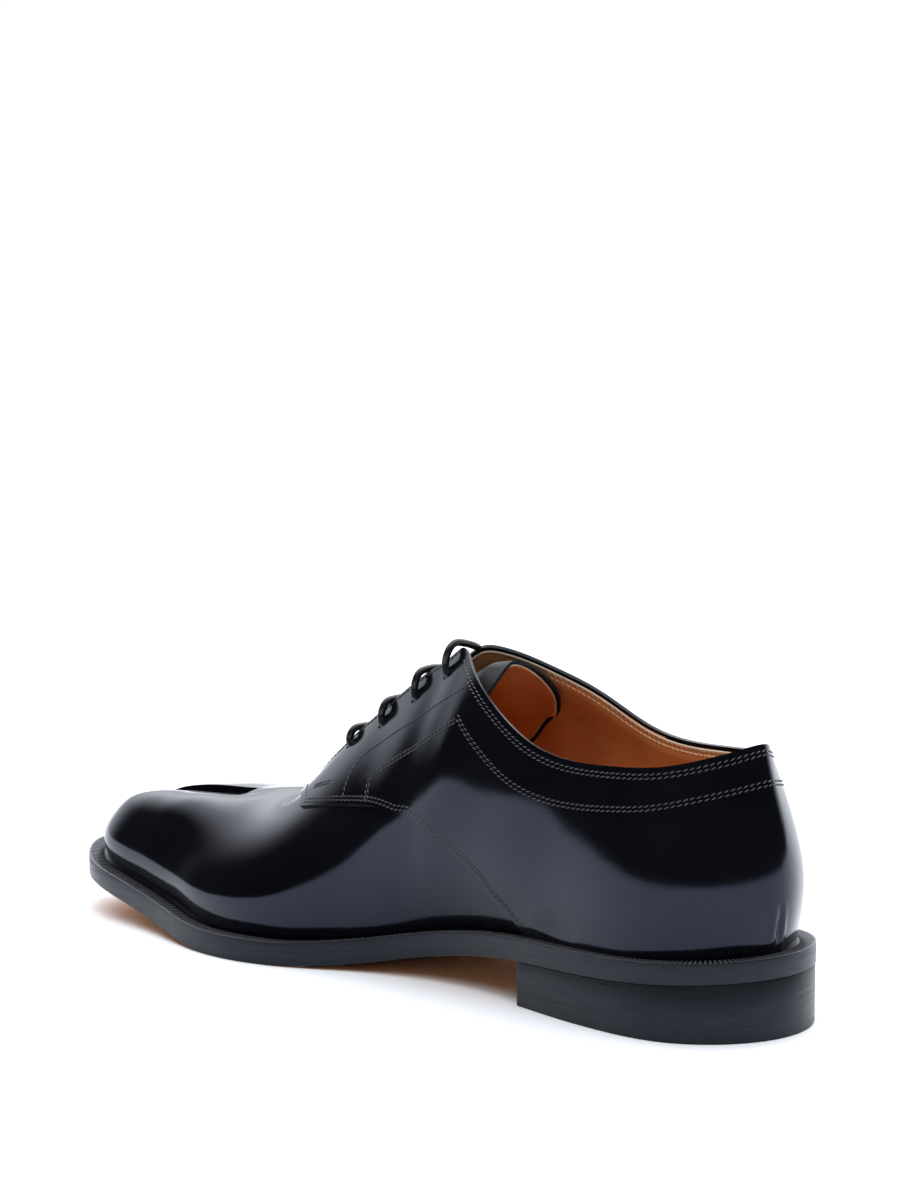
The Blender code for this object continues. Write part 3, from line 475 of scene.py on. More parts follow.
blackCalf = polishedCalf("black polished calf")
liningCalf = tanCalf("tan lining calf", (0.62, 0.265, 0.10), (0.52, 0.205, 0.07), 0.48)
rawEdge = tanCalf("raw leather edge", (0.80, 0.66, 0.50), (0.68, 0.52, 0.36), 0.7)
soleTan = tanCalf("tan sole leather", (0.70, 0.33, 0.12), (0.60, 0.26, 0.085), 0.42)
edgeInk = (0.006, 0.0066, 0.0085)
inkedEdge = waxedEdge("black inked edge", edgeInk, 0.34)
# lighter grey for the crests of the welt's ribs: a painted highlight
ribHighlightPaint = waxedEdge("painted rib highlight", (0.10, 0.105, 0.12), 0.3, 0.6)
tongueBlack = waxedEdge("black tongue calf", edgeInk, 0.5, 0.2)
liftBlack = waxedEdge("black lift", edgeInk, 0.34)
blackThread = threadFinish("black waxed thread", (0.045, 0.047, 0.053), 0.34)
tanThread = threadFinish("tan thread", (0.86, 0.68, 0.47), 0.6)
blackLace = threadFinish("black waxed lace", (0.006, 0.0065, 0.009), 0.34)
print("materials made")


# mesh helpers
def sheet(bm, across, along, shape):
    # a flat grid bent to a shape that takes u and v from 0 to 1
    made = bmesh.ops.create_grid(bm, x_segments=across, y_segments=along, size=0.5)["verts"]
    uv = np.array([vert.co[:2] for vert in made]) + 0.5
    for vert, point in zip(made, toFrame(shape(uv[:, 0], uv[:, 1]))):
        vert.co = point
    return made, uv


def weld(bm):
    bmesh.ops.remove_doubles(bm, verts=bm.verts, dist=0.000004)
    bmesh.ops.dissolve_degenerate(bm, edges=bm.edges, dist=0.000001)


def faceOut(bm, near, out):
    # turns a sheet so that it looks outward at a shoe point
    bmesh.ops.recalc_face_normals(bm, faces=bm.faces)
    near = Vector(toFrame(near))
    probe = min(bm.verts, key=lambda vert: (vert.co - near).length)
    if probe.normal.dot(Vector(out)) < 0.0:
        bmesh.ops.reverse_faces(bm, faces=bm.faces)


def piece(bm, name, materials, stands=()):
    for face in bm.faces:
        face.smooth = True
    obj = meshObject(name, bm)
    for material in materials:
        obj.data.materials.append(material)
    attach(obj, "root")
    if stands:
        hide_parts(*stands)
    return obj


def wallAndEdges(obj, thick, edge, inside, rim):
    # wall thickness inward, thinner where a vertex group says so, then rounded edges
    wall = obj.modifiers.new("wall", "SOLIDIFY")
    wall.thickness = thick * 0.001
    wall.offset = -1.0
    if obj.vertex_groups:
        wall.vertex_group = obj.vertex_groups[0].name
    wall.use_even_offset = True
    wall.material_offset = inside
    wall.material_offset_rim = rim
    soft = obj.modifiers.new("edges", "BEVEL")
    soft.width = edge * 0.001
    soft.segments = 2
    soft.limit_method = "ANGLE"
    soft.angle_limit = math.radians(50.0)
    soft.use_clamp_overlap = True
    even = obj.modifiers.new("normals", "WEIGHTED_NORMAL")
    even.weight = 80


# creases placed one by one: from and to in shoe millimetres, half width, depth (minus is a ridge)
creases = (
    {"from": (3.2, 1.0, 39.5), "to": (4.3, 0.6, 25.5), "wide": 0.75, "deep": 0.6},
    {"from": (3.1, -0.9, 40.0), "to": (4.3, -1.7, 25.5), "wide": 0.9, "deep": -0.4},
    {"from": (3.3, 2.9, 39.5), "to": (4.4, 3.3, 26.0), "wide": 1.2, "deep": -0.3},
    {"from": (57.0, 31.0, 25.0), "to": (74.0, 29.0, 28.5), "wide": 3.0, "deep": 0.4},
    {"from": (70.0, 29.5, 33.0), "to": (84.0, 27.0, 26.0), "wide": 3.2, "deep": -0.3},
)


def creased(points, normals):
    moved = points.copy()
    for crease in creases:
        start, end = np.array(crease["from"]), np.array(crease["to"])
        line = end - start
        part = np.clip((points - start) @ line / (line @ line), 0.0, 1.0)
        away = np.linalg.norm(points - start - part[:, None] * line, axis=1)
        fade = np.sin(np.pi * np.clip(part * 0.8 + 0.1, 0.0, 1.0))
        moved -= normals * (crease["deep"] * fade * np.exp(-(away / crease["wide"]) ** 2))[:, None]
    return moved


# quarters
quarter = {"across": 170, "up": 84, "edge": 0.3, "eyelet": 1.8, "skived": 0.42, "skive": 6.0, "fold": 1.9}
# eyelets of the inner side from the top: place along, distance from the facing's edge
laceRows = ((141.5, 8.4), (154.7, 8.6), (167.3, 8.0), (180.5, 5.8))
laceSkew = 3.5                            # outer eyelets ahead of the inner ones


# edge of the facing below the lowest eyelet: place along, how much of the height is cut away
flap = ((176.0, 0.0), (181.0, 0.012), (187.0, 0.034), (192.0, 0.042), (197.0, 0.022), (201.0, 0.0))


def flapTop(along):
    return 1.0 - np.interp(along, column(flap, 0), column(flap, 1))


def quarterPlace(side, u, v):
    share, along = seamAt(side, v)
    along, share = along * u, v + (share - v) * u
    return along, share - (1.0 - flapTop(along)) * smoothStep((share - 0.7) / 0.3)


def quarterShape(side, u, v):
    along, share = quarterPlace(side, u, v)
    normals = sideNormals(side, along, share)
    points = creased(sidePoints(side, along, share) + normals * shoe["lap"], normals)
    foot = v < 0.0001
    points[foot, 2] = weltTop(points[foot, 0]) + shoe["foot"]
    return points


def wallShare(drop):
    # thickness of the quarter by distance from its top edge
    least = quarter["skived"]
    return least + (1.0 - least) * smoothStep(np.asarray(drop, float) / quarter["skive"])


def liningDepth(drop):
    # lining below the sections' surface
    return (shoe["wall"] + shoe["lap"]) * wallShare(drop) - shoe["lap"]


def eyeletPlaces(side):
    along = np.array(column(laceRows, 0)) + (laceSkew if side["sign"] < 0 else 0.0)
    share = 1.0 - np.array(column(laceRows, 1)) / sideLength(side, along)
    places = sidePoints(side, along, share)
    toEdge = unit(sidePoints(side, along, share + 0.03) - places)
    return places, sideNormals(side, along, share), toEdge


def punch(bm, centre, normal, radius):
    # opens a round hole in a sheet and draws its rim onto the circle
    centre, normal = Vector(centre), Vector(normal)

    def off(point):
        flat = point - centre
        return flat - normal * flat.dot(normal)

    near = [face for face in bm.faces if (face.calc_center_median() - centre).length < 3.0 * radius]
    gone = [face for face in near if off(face.calc_center_median()).length < radius]
    rim = {vert for face in gone for vert in face.verts}
    bmesh.ops.delete(bm, geom=gone, context="FACES")
    for vert in [vert for vert in rim if vert.is_valid]:
        flat = off(vert.co)
        vert.co += flat.normalized() * (radius - flat.length)


def makeQuarter(name, side):
    bm = bmesh.new()
    weights = bm.verts.layers.deform.verify()
    made, uv = sheet(bm, quarter["across"], quarter["up"], lambda u, v: quarterShape(side, u, v))
    along, share = quarterPlace(side, uv[:, 0], uv[:, 1])
    drop = (1.0 - share) * sideLength(side, along)
    for vert, part in zip(made, wallShare(drop)):
        vert[weights][0] = float(part)
    # leather folded over the top edge, above the lining
    low = {vert for vert, distance in zip(made, drop) if distance > quarter["fold"]}
    for face in bm.faces:
        face.material_index = 0 if any(vert in low for vert in face.verts) else 2
    faceOut(bm, (60.0, 30.0 * side["sign"], 45.0), (0.0, side["sign"], 0.0))
    for centre, normal, toEdge in zip(*eyeletPlaces(side)):
        punch(bm, toFrame(centre), normal, quarter["eyelet"] * 0.001)
    finishes = [blackCalf, liningCalf, blackCalf, blackCalf, inkedEdge]
    obj = piece(bm, "quarter_" + name, finishes, ("upper",))
    obj.vertex_groups.new(name="thickness")
    wallAndEdges(obj, shoe["wall"] + shoe["lap"], quarter["edge"], 1, 4)


for name, side in bothSides:
    makeQuarter(name, side)
print("quarters made")


# vamp with the cleft
vamp = {
    "across": 132, "up": 64, "gap": 26, "tuck": 0.025, "crown": 0.5, "edge": 0.3, "backward": 5.0,
    # ridge behind the cleft: the box it lies in, and how often it is smoothed
    "ridge": ((196.0, -14.0, 38.0), (223.5, 16.0, 60.0)), "passes": 24,
}
# cut of the cleft: s of its round rear end, length of the rounding, lip and wall as shares of the width
cleft = {"rear": 228.4, "round": 3.2, "lip": 0.05, "slope": 0.26, "ledge": 0.12}


def vampPlace(side, u, v):
    share, start = seamAt(side, v)
    u = u * (1.0 + vamp["tuck"]) - vamp["tuck"]
    return start + (side["end"] - start) * u, share + (v - share) * u


def vampShape(side, u, v):
    along, share = vampPlace(side, u, v)
    points = sidePoints(side, along, share)
    foot = v < 0.0001
    points[foot, 2] = weltTop(points[foot, 0]) + shoe["foot"]
    return points


def gapShape(u, v):
    # between the lips: u from the throat along the top and down the front, v across
    top = vamp["across"] / (vamp["across"] + vamp["up"])
    lipU = np.clip(u / top, 0.0, 1.0)
    lipV = 1.0 - np.clip((u - top) / (1.0 - top), 0.0, 1.0)
    one, two = vampShape(innerSide, lipU, lipV), vampShape(outerSide, lipU, lipV)
    middle = (one + two) / 2.0
    down = 1.0 - lipV
    depth = np.interp(middle[:, 0], column(cleftDepth, 0), column(cleftDepth, 1))
    lowS = middle[:, 0] - 1.5 * np.minimum(1.0, depth / 10.0) - vamp["backward"] * down * (depth > 0.0)
    ground = weltTop(middle[:, 0]) + shoe["seat"]
    lowZ = np.maximum(middle[:, 2] - depth, ground + 3.2 * (1.0 - down))
    foot = lipV < 0.0001
    lowZ[foot] = weltTop(lowS[foot]) + shoe["foot"]
    closing = 1.0 - np.clip((middle[:, 0] - cleft["rear"]) / cleft["round"], 0.0, 1.0)
    gape = np.sqrt(1.0 - closing ** 2)
    lip = 0.5 - (0.5 - cleft["lip"]) * gape
    wall = (np.minimum(v, 1.0 - v) - lip) / (cleft["slope"] * np.maximum(gape, 0.25))
    # the far wall has a fold below its lip
    fold = cleft["ledge"] * smoothStep(wall / 0.2) + (1.0 - cleft["ledge"]) * smoothStep((wall - 0.7) / 0.6)
    sink = np.where(v > 0.5, fold, smoothStep(wall))
    points = one + (two - one) * v[:, None]
    dips = depth > 0.0
    points[:, 0] += np.where(dips, (lowS - middle[:, 0]) * sink, 0.0)
    points[:, 2] += np.where(dips, (lowZ - middle[:, 2]) * sink, vamp["crown"] * np.sin(np.pi * v))
    points[foot, 2] = weltTop(points[foot, 0]) + shoe["foot"]
    return points


def makeVamp():
    bm = bmesh.new()
    for name, side in bothSides:
        sheet(bm, vamp["across"], vamp["up"], lambda u, v: vampShape(side, u, v))
    sheet(bm, vamp["across"] + vamp["up"], vamp["gap"], gapShape)
    weld(bm)
    # the ridge behind the cleft runs smoothly from side to side
    low, high = toFrame(vamp["ridge"])
    inside = [vert for vert in bm.verts if all(a < x < b for a, x, b in zip(low, vert.co, high))]
    ridge = [vert for vert in inside if not vert.is_boundary]
    for turn in range(vamp["passes"]):
        bmesh.ops.smooth_vert(bm, verts=ridge, factor=0.5, use_axis_x=True, use_axis_y=True, use_axis_z=True)
    faceOut(bm, (220.0, 42.0, 25.0), (0.0, 1.0, 0.0))
    obj = piece(bm, "vamp", [blackCalf, liningCalf], ("upper",))
    wallAndEdges(obj, shoe["wall"], vamp["edge"], 1, 0)


makeVamp()
print("vamp made")


# bottom: rings about the sole's outline
def turnAt(s):
    return np.arccos(np.clip(1.0 - 2.0 * np.asarray(s, float) / shoe["length"], -1.0, 1.0))


edgeIn = smoothCurve(turnAt(column(soleEdge, 0)), column(soleEdge, 1))
edgeOut = smoothCurve(turnAt(column(soleEdge, 0)), column(soleEdge, 2))


def evenLoop(points, count):
    # a closed line at even steps
    closed = np.concatenate([points, points[:1]])
    run = distances(closed)
    return pointsAt(np.linspace(0.0, run[-1], count, endpoint=False), run, closed)


def edgeLines(angle):
    s = shoe["length"] * (1.0 - np.cos(angle)) / 2.0
    return [np.stack([s, t], axis=1) for t in (edgeIn(angle)[:, 0], -edgeOut(angle)[:, 0])]


def soleLoop(count):
    inner, outer = edgeLines(np.linspace(0.0, math.pi, 1200))
    return evenLoop(np.concatenate([inner[:-1], outer[:0:-1]]), count)


def loopInward(loop):
    return inwardOf(unit(np.roll(loop, -1, axis=0) - np.roll(loop, 1, axis=0)))


def ring(bm, loop, section):
    # section rows are (inward distance, height), each a number or an array along the loop
    inward = loopInward(loop)
    rows = []
    for inset, height in section:
        flat = loop + inward * np.broadcast_to(inset, (len(loop),))[:, None]
        rows.append(np.column_stack([flat, np.broadcast_to(height(flat[:, 0]), (len(loop),))]))
    rows = np.array(rows)
    n, m = len(loop), len(section) - 1
    sheet(bm, n, m, lambda u, v: rows[np.rint(v * m).astype(int), np.rint(u * n).astype(int) % n])
    return rows


def cap(bm, row, height, across):
    # closes a loop with lines from side to side
    n, half = len(row), len(row) // 2

    def shape(u, v):
        i = np.rint(u * half).astype(int)
        points = row[i] + (row[(n - i) % n] - row[i]) * v[:, None]
        points[:, 2] = height(points[:, 0])
        return points

    sheet(bm, half, across, shape)


def notched(obj, depth, wide):
    # round ended slot through the front, under the cleft
    front, back = shoe["length"] + 12.0, shoe["length"] - depth
    bm = bmesh.new()
    bmesh.ops.create_circle(bm, cap_ends=True, segments=24, radius=wide / 2.0)
    for vert in bm.verts:
        s, t = back + wide / 2.0 + vert.co.x, vert.co.y
        if vert.co.x > 0.01:
            s, t = front, t * 1.6
        vert.co = toFrame((s, shoe["cleft"] + t, -5.0))
    wall = bmesh.ops.extrude_face_region(bm, geom=list(bm.faces))["geom"]
    raised = [item for item in wall if isinstance(item, bmesh.types.BMVert)]
    bmesh.ops.translate(bm, verts=raised, vec=(0.0, 0.0, 0.05))
    bmesh.ops.recalc_face_normals(bm, faces=bm.faces)
    tool = meshObject("notch", bm)
    change = obj.modifiers.new("notch", "BOOLEAN")
    change.operation = "DIFFERENCE"
    change.object = tool
    graph = bpy.context.evaluated_depsgraph_get()
    made = bpy.data.meshes.new_from_object(obj.evaluated_get(graph))
    obj.modifiers.clear()
    obj.data = made
    bpy.data.objects.remove(tool)


def outward(bm):
    weld(bm)
    bmesh.ops.recalc_face_normals(bm, faces=bm.faces)


def paint(bm, rule):
    # material index of each face from its centre and normal
    for face in bm.faces:
        face.material_index = rule(face.calc_center_median(), face.normal)


def sharpen(obj, degrees):
    obj.data.set_sharp_from_angle(angle=math.radians(degrees))


def onSole(s):
    return soleTop(s) + shoe["joint"]


welt = {"ribs": 440, "steps": 6, "ribDeep": 0.4, "recess": 0.5, "under": 1.7, "notch": (17.0, 4.6)}


def makeWelt():
    count = welt["ribs"] * welt["steps"]
    loop = soleLoop(count)
    wave = 0.5 + 0.5 * np.cos(np.arange(count) * 2.0 * math.pi / welt["steps"])
    groove = welt["ribDeep"] * (1.0 - wave)
    wide = weltWidth(loop[:, 0])
    under = wide + welt["under"]
    recess = welt["recess"]

    def below(drop):
        return lambda s: weltTop(s) - drop

    def foot(s):
        return onSole(s) - 0.07

    section = [
        (0.0, foot), (0.0, below(0.75)), (0.12, below(0.15)), (0.35, below(0.5 * groove)),
        (0.9, below(groove)), (wide - 1.5, below(groove)), (wide - 0.9, below(recess + 0.2 * groove)),
        (wide - 0.5, below(recess)), (under, below(recess)), (under, onSole), (0.0, foot),
    ]
    bm = bmesh.new()
    ring(bm, loop, section)
    outward(bm)
    # crests of the ribs are painted lighter: a painted highlight
    crest = 0.001 * 0.45 * welt["ribDeep"]

    def highlightPaintedOn(where, normal):
        s = where.x * 1000.0 + shoe["origin"]
        return 1 if normal.z > 0.3 and where.z > 0.001 * weltTop(s)[0] - crest else 0

    paint(bm, highlightPaintedOn)
    obj = piece(bm, "ribbed_welt", [inkedEdge, ribHighlightPaint], ("welt",))
    notched(obj, *welt["notch"])
    sharpen(obj, 50.0)


outsole = {"count": 720, "across": 40, "round": 0.25, "notch": (17.0, 4.6)}


def makeOutsole():
    loop = soleLoop(outsole["count"])
    r = outsole["round"]
    section = [
        (1.5, soleTop), (0.0, soleTop), (0.0, lambda s: soleBottom(s) + r),
        (0.3 * r, lambda s: soleBottom(s) + 0.3 * r), (r, soleBottom), (2.2, soleBottom),
    ]
    bm = bmesh.new()
    rows = ring(bm, loop, section)
    cap(bm, rows[0], soleTop, 4)
    cap(bm, rows[-1], soleBottom, outsole["across"])
    outward(bm)
    breast = float(toFrame((shoe["breast"], 0.0, 0.0))[0])
    paint(bm, lambda where, normal: 1 if normal.z < -0.9 and where.x > breast else 0)
    obj = piece(bm, "leather_outsole", [inkedEdge, soleTan], ("outsole",))
    notched(obj, *outsole["notch"])
    sharpen(obj, 30.0)


insole = {"count": 480, "under": 3.0, "rise": 0.6, "notch": (26.0, 13.6)}


def makeInsole():
    loop = soleLoop(insole["count"])
    edge = weltWidth(loop[:, 0]) + insole["under"]
    rise = lambda s: weltTop(s) + insole["rise"]
    bm = bmesh.new()
    rows = ring(bm, loop, [(edge, onSole), (edge, lambda s: rise(s) - 0.3), (edge + 0.3, rise)])
    cap(bm, rows[0], onSole, 4)
    cap(bm, rows[-1], rise, 24)
    outward(bm)
    obj = piece(bm, "insole_board", [liningCalf], ("insole",))
    notched(obj, *insole["notch"])
    sharpen(obj, 45.0)


heel = {"inset": 0.15, "hollow": 3.0, "foot": 0.5}


def heelLoop():
    # the sole's back and a hollow breast, with corners kept
    inner, outer = edgeLines(np.linspace(0.0, float(turnAt(shoe["breast"])), 160))
    whole = np.concatenate([outer[:0:-1], inner])
    whole = whole + inwardOf(unit(np.gradient(whole, axis=0))) * heel["inset"]
    share = np.linspace(0.0, 1.0, 42)[1:-1]
    breast = whole[-1] + (whole[0] - whole[-1]) * share[:, None]
    breast[:, 0] -= heel["hollow"] * np.sin(np.pi * share)
    return np.concatenate([whole, breast])


def makeHeel():
    loop = heelLoop()
    flat = lambda z: (lambda s: np.full(len(np.atleast_1d(s)), z))
    lift = shoe["lift"]
    foot = heel["foot"]
    top = lambda s: soleBottom(s) - shoe["joint"]
    layers = (
        ("top_lift_layer", "top_lift", "lift_rubber", liftBlack,
         [(0.35, flat(0.0)), (0.1, flat(0.12)), (0.03, flat(foot)), (0.0, flat(foot + 0.2)),
          (0.0, flat(lift + 0.07))]),
        ("stacked_heel", "heel_stack", "black_edge", inkedEdge,
         [(0.0, flat(lift + shoe["joint"])), (0.0, lambda s: top(s) - 0.1), (0.05, top)]),
    )
    for name, node, slot, material, section in layers:
        bm = bmesh.new()
        ring(bm, loop, section)
        weld(bm)
        edges = [edge for edge in bm.edges if edge.is_boundary]
        middle = np.mean([edge.verts[0].co.z for edge in edges])
        low = [edge for edge in edges if edge.verts[0].co.z < middle]
        high = [edge for edge in edges if edge.verts[0].co.z >= middle]
        for group in (low, high):
            bmesh.ops.contextual_create(bm, geom=group)
        bmesh.ops.recalc_face_normals(bm, faces=bm.faces)
        obj = piece(bm, name, [material], (node,))
        sharpen(obj, 30.0)


makeWelt()
makeOutsole()
makeInsole()
makeHeel()
print("bottom made")


# tongue: black sheet with a smaller tan lining under it, so that a black rim shows
tongue = {
    "black": 1.0, "lining": 0.7, "rim": 1.5, "gap": 0.6, "crown": 0.8, "turn": 2.5, "along": 110,
    "across": 72, "edge": 0.2,
    # half width, drop and bend of its arch on either side, then where its end is cut and how round
    "outer": (25.0, 21.0, 1.45), "inner": (15.5, 20.6, 1.7), "end": (111.0, 13.0, 4.2),
}
# place along, height shares of its inner and outer edge, how far its middle hangs below the facings
tongueRows = (
    (138.0, 0.70, 0.60, 7.6), (144.0, 0.70, 0.60, 6.2), (152.0, 0.70, 0.62, 3.6), (164.0, 0.71, 0.68, 1.2),
    (177.0, 0.73, 0.73, 0.2), (190.0, 0.77, 0.77, 0.0), (199.0, 0.80, 0.80, 0.0), (206.0, 0.83, 0.83, 0.0),
    (212.0, 0.86, 0.86, 0.0),
)
# free end: s and height of its middle
tongueEnd = ((110.0, 101.3), (115.5, 100.2), (121.0, 98.8))
acrossTongue = np.array((1.0, 0.9, 0.7, 0.35, 0.0, -0.35, -0.7, -0.9, -1.0))


def archFall(share, bend):
    return 1.0 - (1.0 - np.minimum(1.0, np.abs(share)) ** bend) ** (1.0 / bend)


def tongueGrid():
    rows = []
    inner = acrossTongue > 0.0
    inWide, inDeep, inBend = tongue["inner"]
    outWide, outDeep, outBend = tongue["outer"]
    # the middle stands a little to the inner side
    t = tongue["turn"] + acrossTongue * np.where(inner, inWide, outWide)
    inFall, outFall = inDeep * archFall(acrossTongue, inBend), outDeep * archFall(acrossTongue, outBend)
    for s, high in tongueEnd:
        rows.append(np.stack([np.full(9, s), t, high - np.where(inner, inFall, outFall)], axis=1))
    parts = np.array((0.0, 0.3, 0.6, 1.0))
    for along, inEdge, outEdge, hang in tongueRows:
        place = np.full(4, along)
        arms = []
        for (name, side), edge in zip(bothSides, (inEdge, outEdge)):
            share = edge + (1.0 - edge) * parts
            arm = sidePoints(side, place, share)
            arm = arm - sideNormals(side, place, share) * (shoe["wall"] + tongue["gap"])
            arm[:, 2] -= hang * parts
            arms.append(arm)
        middle = (arms[0][-1] + arms[1][-1]) / 2.0
        middle[2] += tongue["crown"] if along < 200.0 else 0.4 * tongue["crown"]
        rows.append(np.concatenate([arms[0], middle[None], arms[1][::-1]]))
    return np.array(rows)


def tongueShape(inset):
    # the whole sheet, or the part of it that keeps a distance from its edge
    grid = tongueGrid()
    lengthwise = smoothCurve(np.arange(len(grid)), grid.reshape(len(grid), -1))

    def shape(u, v):
        places, which = np.unique(v, return_inverse=True)
        lines = []
        for step in np.linspace(0.0, len(grid) - 1.0, 240):
            row = lengthwise(step).reshape(9, 3)
            side = inset / distances(row)[-1]
            lines.append(smoothCurve(np.arange(9), row)((side + (1.0 - 2.0 * side) * places) * 8.0))
        lines = np.array(lines)
        first, deep, bend = tongue["end"]
        share = np.interp((places - 0.5) * (1.0 - 2.0 * side) * 8.0 + 4.0, np.arange(9), acrossTongue)
        cut = first + deep * archFall(share, bend)
        out = np.zeros((len(u), 3))
        for k in range(len(places)):
            line = lines[:, k]
            run = distances(line)
            here = which == k
            start = np.interp(cut[k], line[:, 0], run) + inset
            out[here] = pointsAt(start + (run[-1] - start) * u[here], run, line)
        return out

    return shape


def makeTongue():
    layers = (
        ("tongue_sheet", "tongue_leather", [tongueBlack, tongueBlack], 0.0, 0.0, tongue["black"]),
        ("tongue_lining", "tan_leather", [rawEdge, liningCalf],
         tongue["rim"], tongue["black"] + 0.02, tongue["lining"]),
    )
    for name, slot, finishes, inset, below, thick in layers:
        bm = bmesh.new()
        sheet(bm, tongue["along"], tongue["across"], tongueShape(inset))
        faceOut(bm, (150.0, 0.0, 95.0), (0.0, 0.0, 1.0))
        obj = piece(bm, name, finishes, ("tongue",))
        if below:
            under = obj.modifiers.new("under", "DISPLACE")
            under.mid_level = 0.0
            under.strength = -0.001 * below
        wallAndEdges(obj, thick, tongue["edge"], 1, 0)


makeTongue()
print("tongue made")


# tubes: laces and the raw edge of the lining
def tube(path, radius, sides, steps):
    # closed round cord along a smooth path
    run = distances(path)
    middle = smoothCurve(run, path)(np.linspace(0.0, run[-1], steps + 1))
    ahead = unit(np.gradient(middle, axis=0))
    sideways = unit(np.cross(np.array((0.3, 0.1, 1.0)), ahead))
    upward = np.cross(ahead, sideways)

    def shape(u, v):
        i = np.rint(u * steps).astype(int)
        angle = v[:, None] * 2.0 * math.pi
        return middle[i] + (sideways[i] * np.cos(angle) + upward[i] * np.sin(angle)) * radius

    bm = bmesh.new()
    sheet(bm, steps, sides, shape)
    weld(bm)
    bmesh.ops.holes_fill(bm, edges=[edge for edge in bm.edges if edge.is_boundary], sides=0)
    bmesh.ops.recalc_face_normals(bm, faces=bm.faces)
    return bm


lace = {"radius": 1.2, "sides": 14, "steps": 90, "inside": (-1.7, -1.0), "hole": (0.9, 0.3)}
# bars from the top: share of the way across, rise, forward lean
topBar = (
    (0.0, 3.6, 1.6), (0.02, 7.2, 1.0), (0.13, 9.7, 0.6), (0.40, 9.9, 0.4), (0.63, 8.8, 0.3), (0.84, 7.0, 0.3),
    (0.97, 4.2, 0.6), (1.0, 2.6, 0.8),
)
lowerBar = (
    (0.0, 0.36, 1.2), (0.015, 0.60, 0.9), (0.08, 0.84, 0.6), (0.22, 0.96, 0.4), (0.46, 1.0, 0.3),
    (0.64, 0.97, 0.3), (0.84, 0.84, 0.3), (0.96, 0.60, 0.5), (1.0, 0.34, 0.8),
)
barRise = (1.0, 9.8, 8.6, 6.5)


def makeLaces():
    inner, outer = eyeletPlaces(innerSide), eyeletPlaces(outerSide)
    for i in range(len(laceRows)):
        ends = []
        for places, normals, toEdge in (inner, outer):
            steps = (lace["inside"], lace["hole"])
            ends.append([places[i] + normals[i] * out + toEdge[i] * up for out, up in steps])
        one, two = inner[0][i], outer[0][i]
        path = list(ends[0])
        for share, part, lean in (lowerBar if i else topBar):
            path.append(one + (two - one) * share + np.array([lean, 0.0, part * barRise[i]]))
        path += ends[1][::-1]
        bm = tube(np.array(path), lace["radius"], lace["sides"], lace["steps"])
        obj = piece(bm, "lace_%d" % (i + 1), [blackLace], ("lace_bar_%d" % (i + 1),))
        sharpen(obj, 60.0)


makeLaces()


rim = {"radius": 0.4, "drop": 1.75, "outerEnd": 147.0, "innerEnd": 134.0, "sides": 10, "steps": 420}


def makeRawEdge():
    path = []
    depth = liningDepth(rim["drop"])
    for side, end in ((outerSide, rim["outerEnd"]), (innerSide, rim["innerEnd"])):
        along = np.linspace(0.0, end, 90)
        share = 1.0 - rim["drop"] / sideLength(side, along)
        path.append(sidePoints(side, along, share) - sideNormals(side, along, share) * depth)
    whole = np.concatenate([path[0][:0:-1], path[1]])
    bm = tube(whole, rim["radius"], rim["sides"], rim["steps"])
    piece(bm, "lining_raw_edge", [rawEdge])


makeRawEdge()
print("laces and lining edge made")


# stitches: beads along rows laid on the surface
stitch = {
    "pitch": 2.0, "long": 1.9, "thick": 0.45, "lean": 17.0, "pair": 1.25,
    # distances of the rows from the collar, the lapped edge, the throat and the facing's edge
    "edge": 2.1, "lapped": 1.4, "throat": 2.4, "facing": 1.3,
    "tack": 1.1, "tip": 0.625,     # spacing of the bar tack, height share of the quarter's tip
    "above": 0.08, "below": 0.16,  # thread above the leather and above the lining
}


def offsetRow(side, along, share, distance):
    # a row moved sideways on the surface, to the left of its direction as seen from outside
    along, share = np.asarray(along, float), np.asarray(share, float)
    da, ds = 0.5, 0.01
    byAlong = (sidePoints(side, along + da, share) - sidePoints(side, along - da, share)) / (2 * da)
    low, high = np.maximum(share - ds, 0.0), np.minimum(share + ds, 1.0)
    byShare = (sidePoints(side, along, high) - sidePoints(side, along, low)) / (high - low)[:, None]
    ahead = unit(np.gradient(sidePoints(side, along, share), axis=0))
    want = unit(np.cross(sideNormals(side, along, share), ahead)) * distance
    a11, a12, a22 = (byAlong ** 2).sum(1), (byAlong * byShare).sum(1), (byShare ** 2).sum(1)
    b1, b2 = (byAlong * want).sum(1), (byShare * want).sum(1)
    det = a11 * a22 - a12 ** 2
    return along + (b1 * a22 - b2 * a12) / det, share + (a11 * b2 - a12 * b1) / det


def softRow(points, count=300, soft=12):
    # a row through given (place along, height share) points, its corners eased
    run = distances(np.array(points) * np.array((1.0, 90.0)))
    row = pointsAt(np.linspace(0.0, run[-1], count), run, points)
    for turn in range(soft):
        row[1:-1] = (row[:-2] + 2.0 * row[1:-1] + row[2:]) / 4.0
    return row[:, 0], row[:, 1]


def beads(bm, side, along, share, height, pitch=stitch["pitch"]):
    points = sidePoints(side, along, share)
    normals = sideNormals(side, along, share)
    run = distances(points)
    for place in np.arange(pitch / 2.0, run[-1], pitch):
        where = pointsAt(place, run, points)
        out = unit(pointsAt(place, run, normals))
        ahead = pointsAt(place + 0.3, run, points) - pointsAt(place - 0.3, run, points)
        ahead = Vector(unit(ahead - out * np.dot(ahead, out)))
        ahead.rotate(Matrix.Rotation(math.radians(stitch["lean"]), 3, Vector(out)))
        across = Vector(out).cross(ahead)
        size = (stitch["long"] * 0.0005, stitch["thick"] * 0.0005, stitch["thick"] * 0.0004)
        turned = Matrix([ahead * size[0], across * size[1], Vector(out) * size[2]]).transposed().to_4x4()
        turned.translation = Vector(toFrame(where + out * height))
        bmesh.ops.create_uvsphere(bm, u_segments=6, v_segments=5, radius=1.0, matrix=turned)


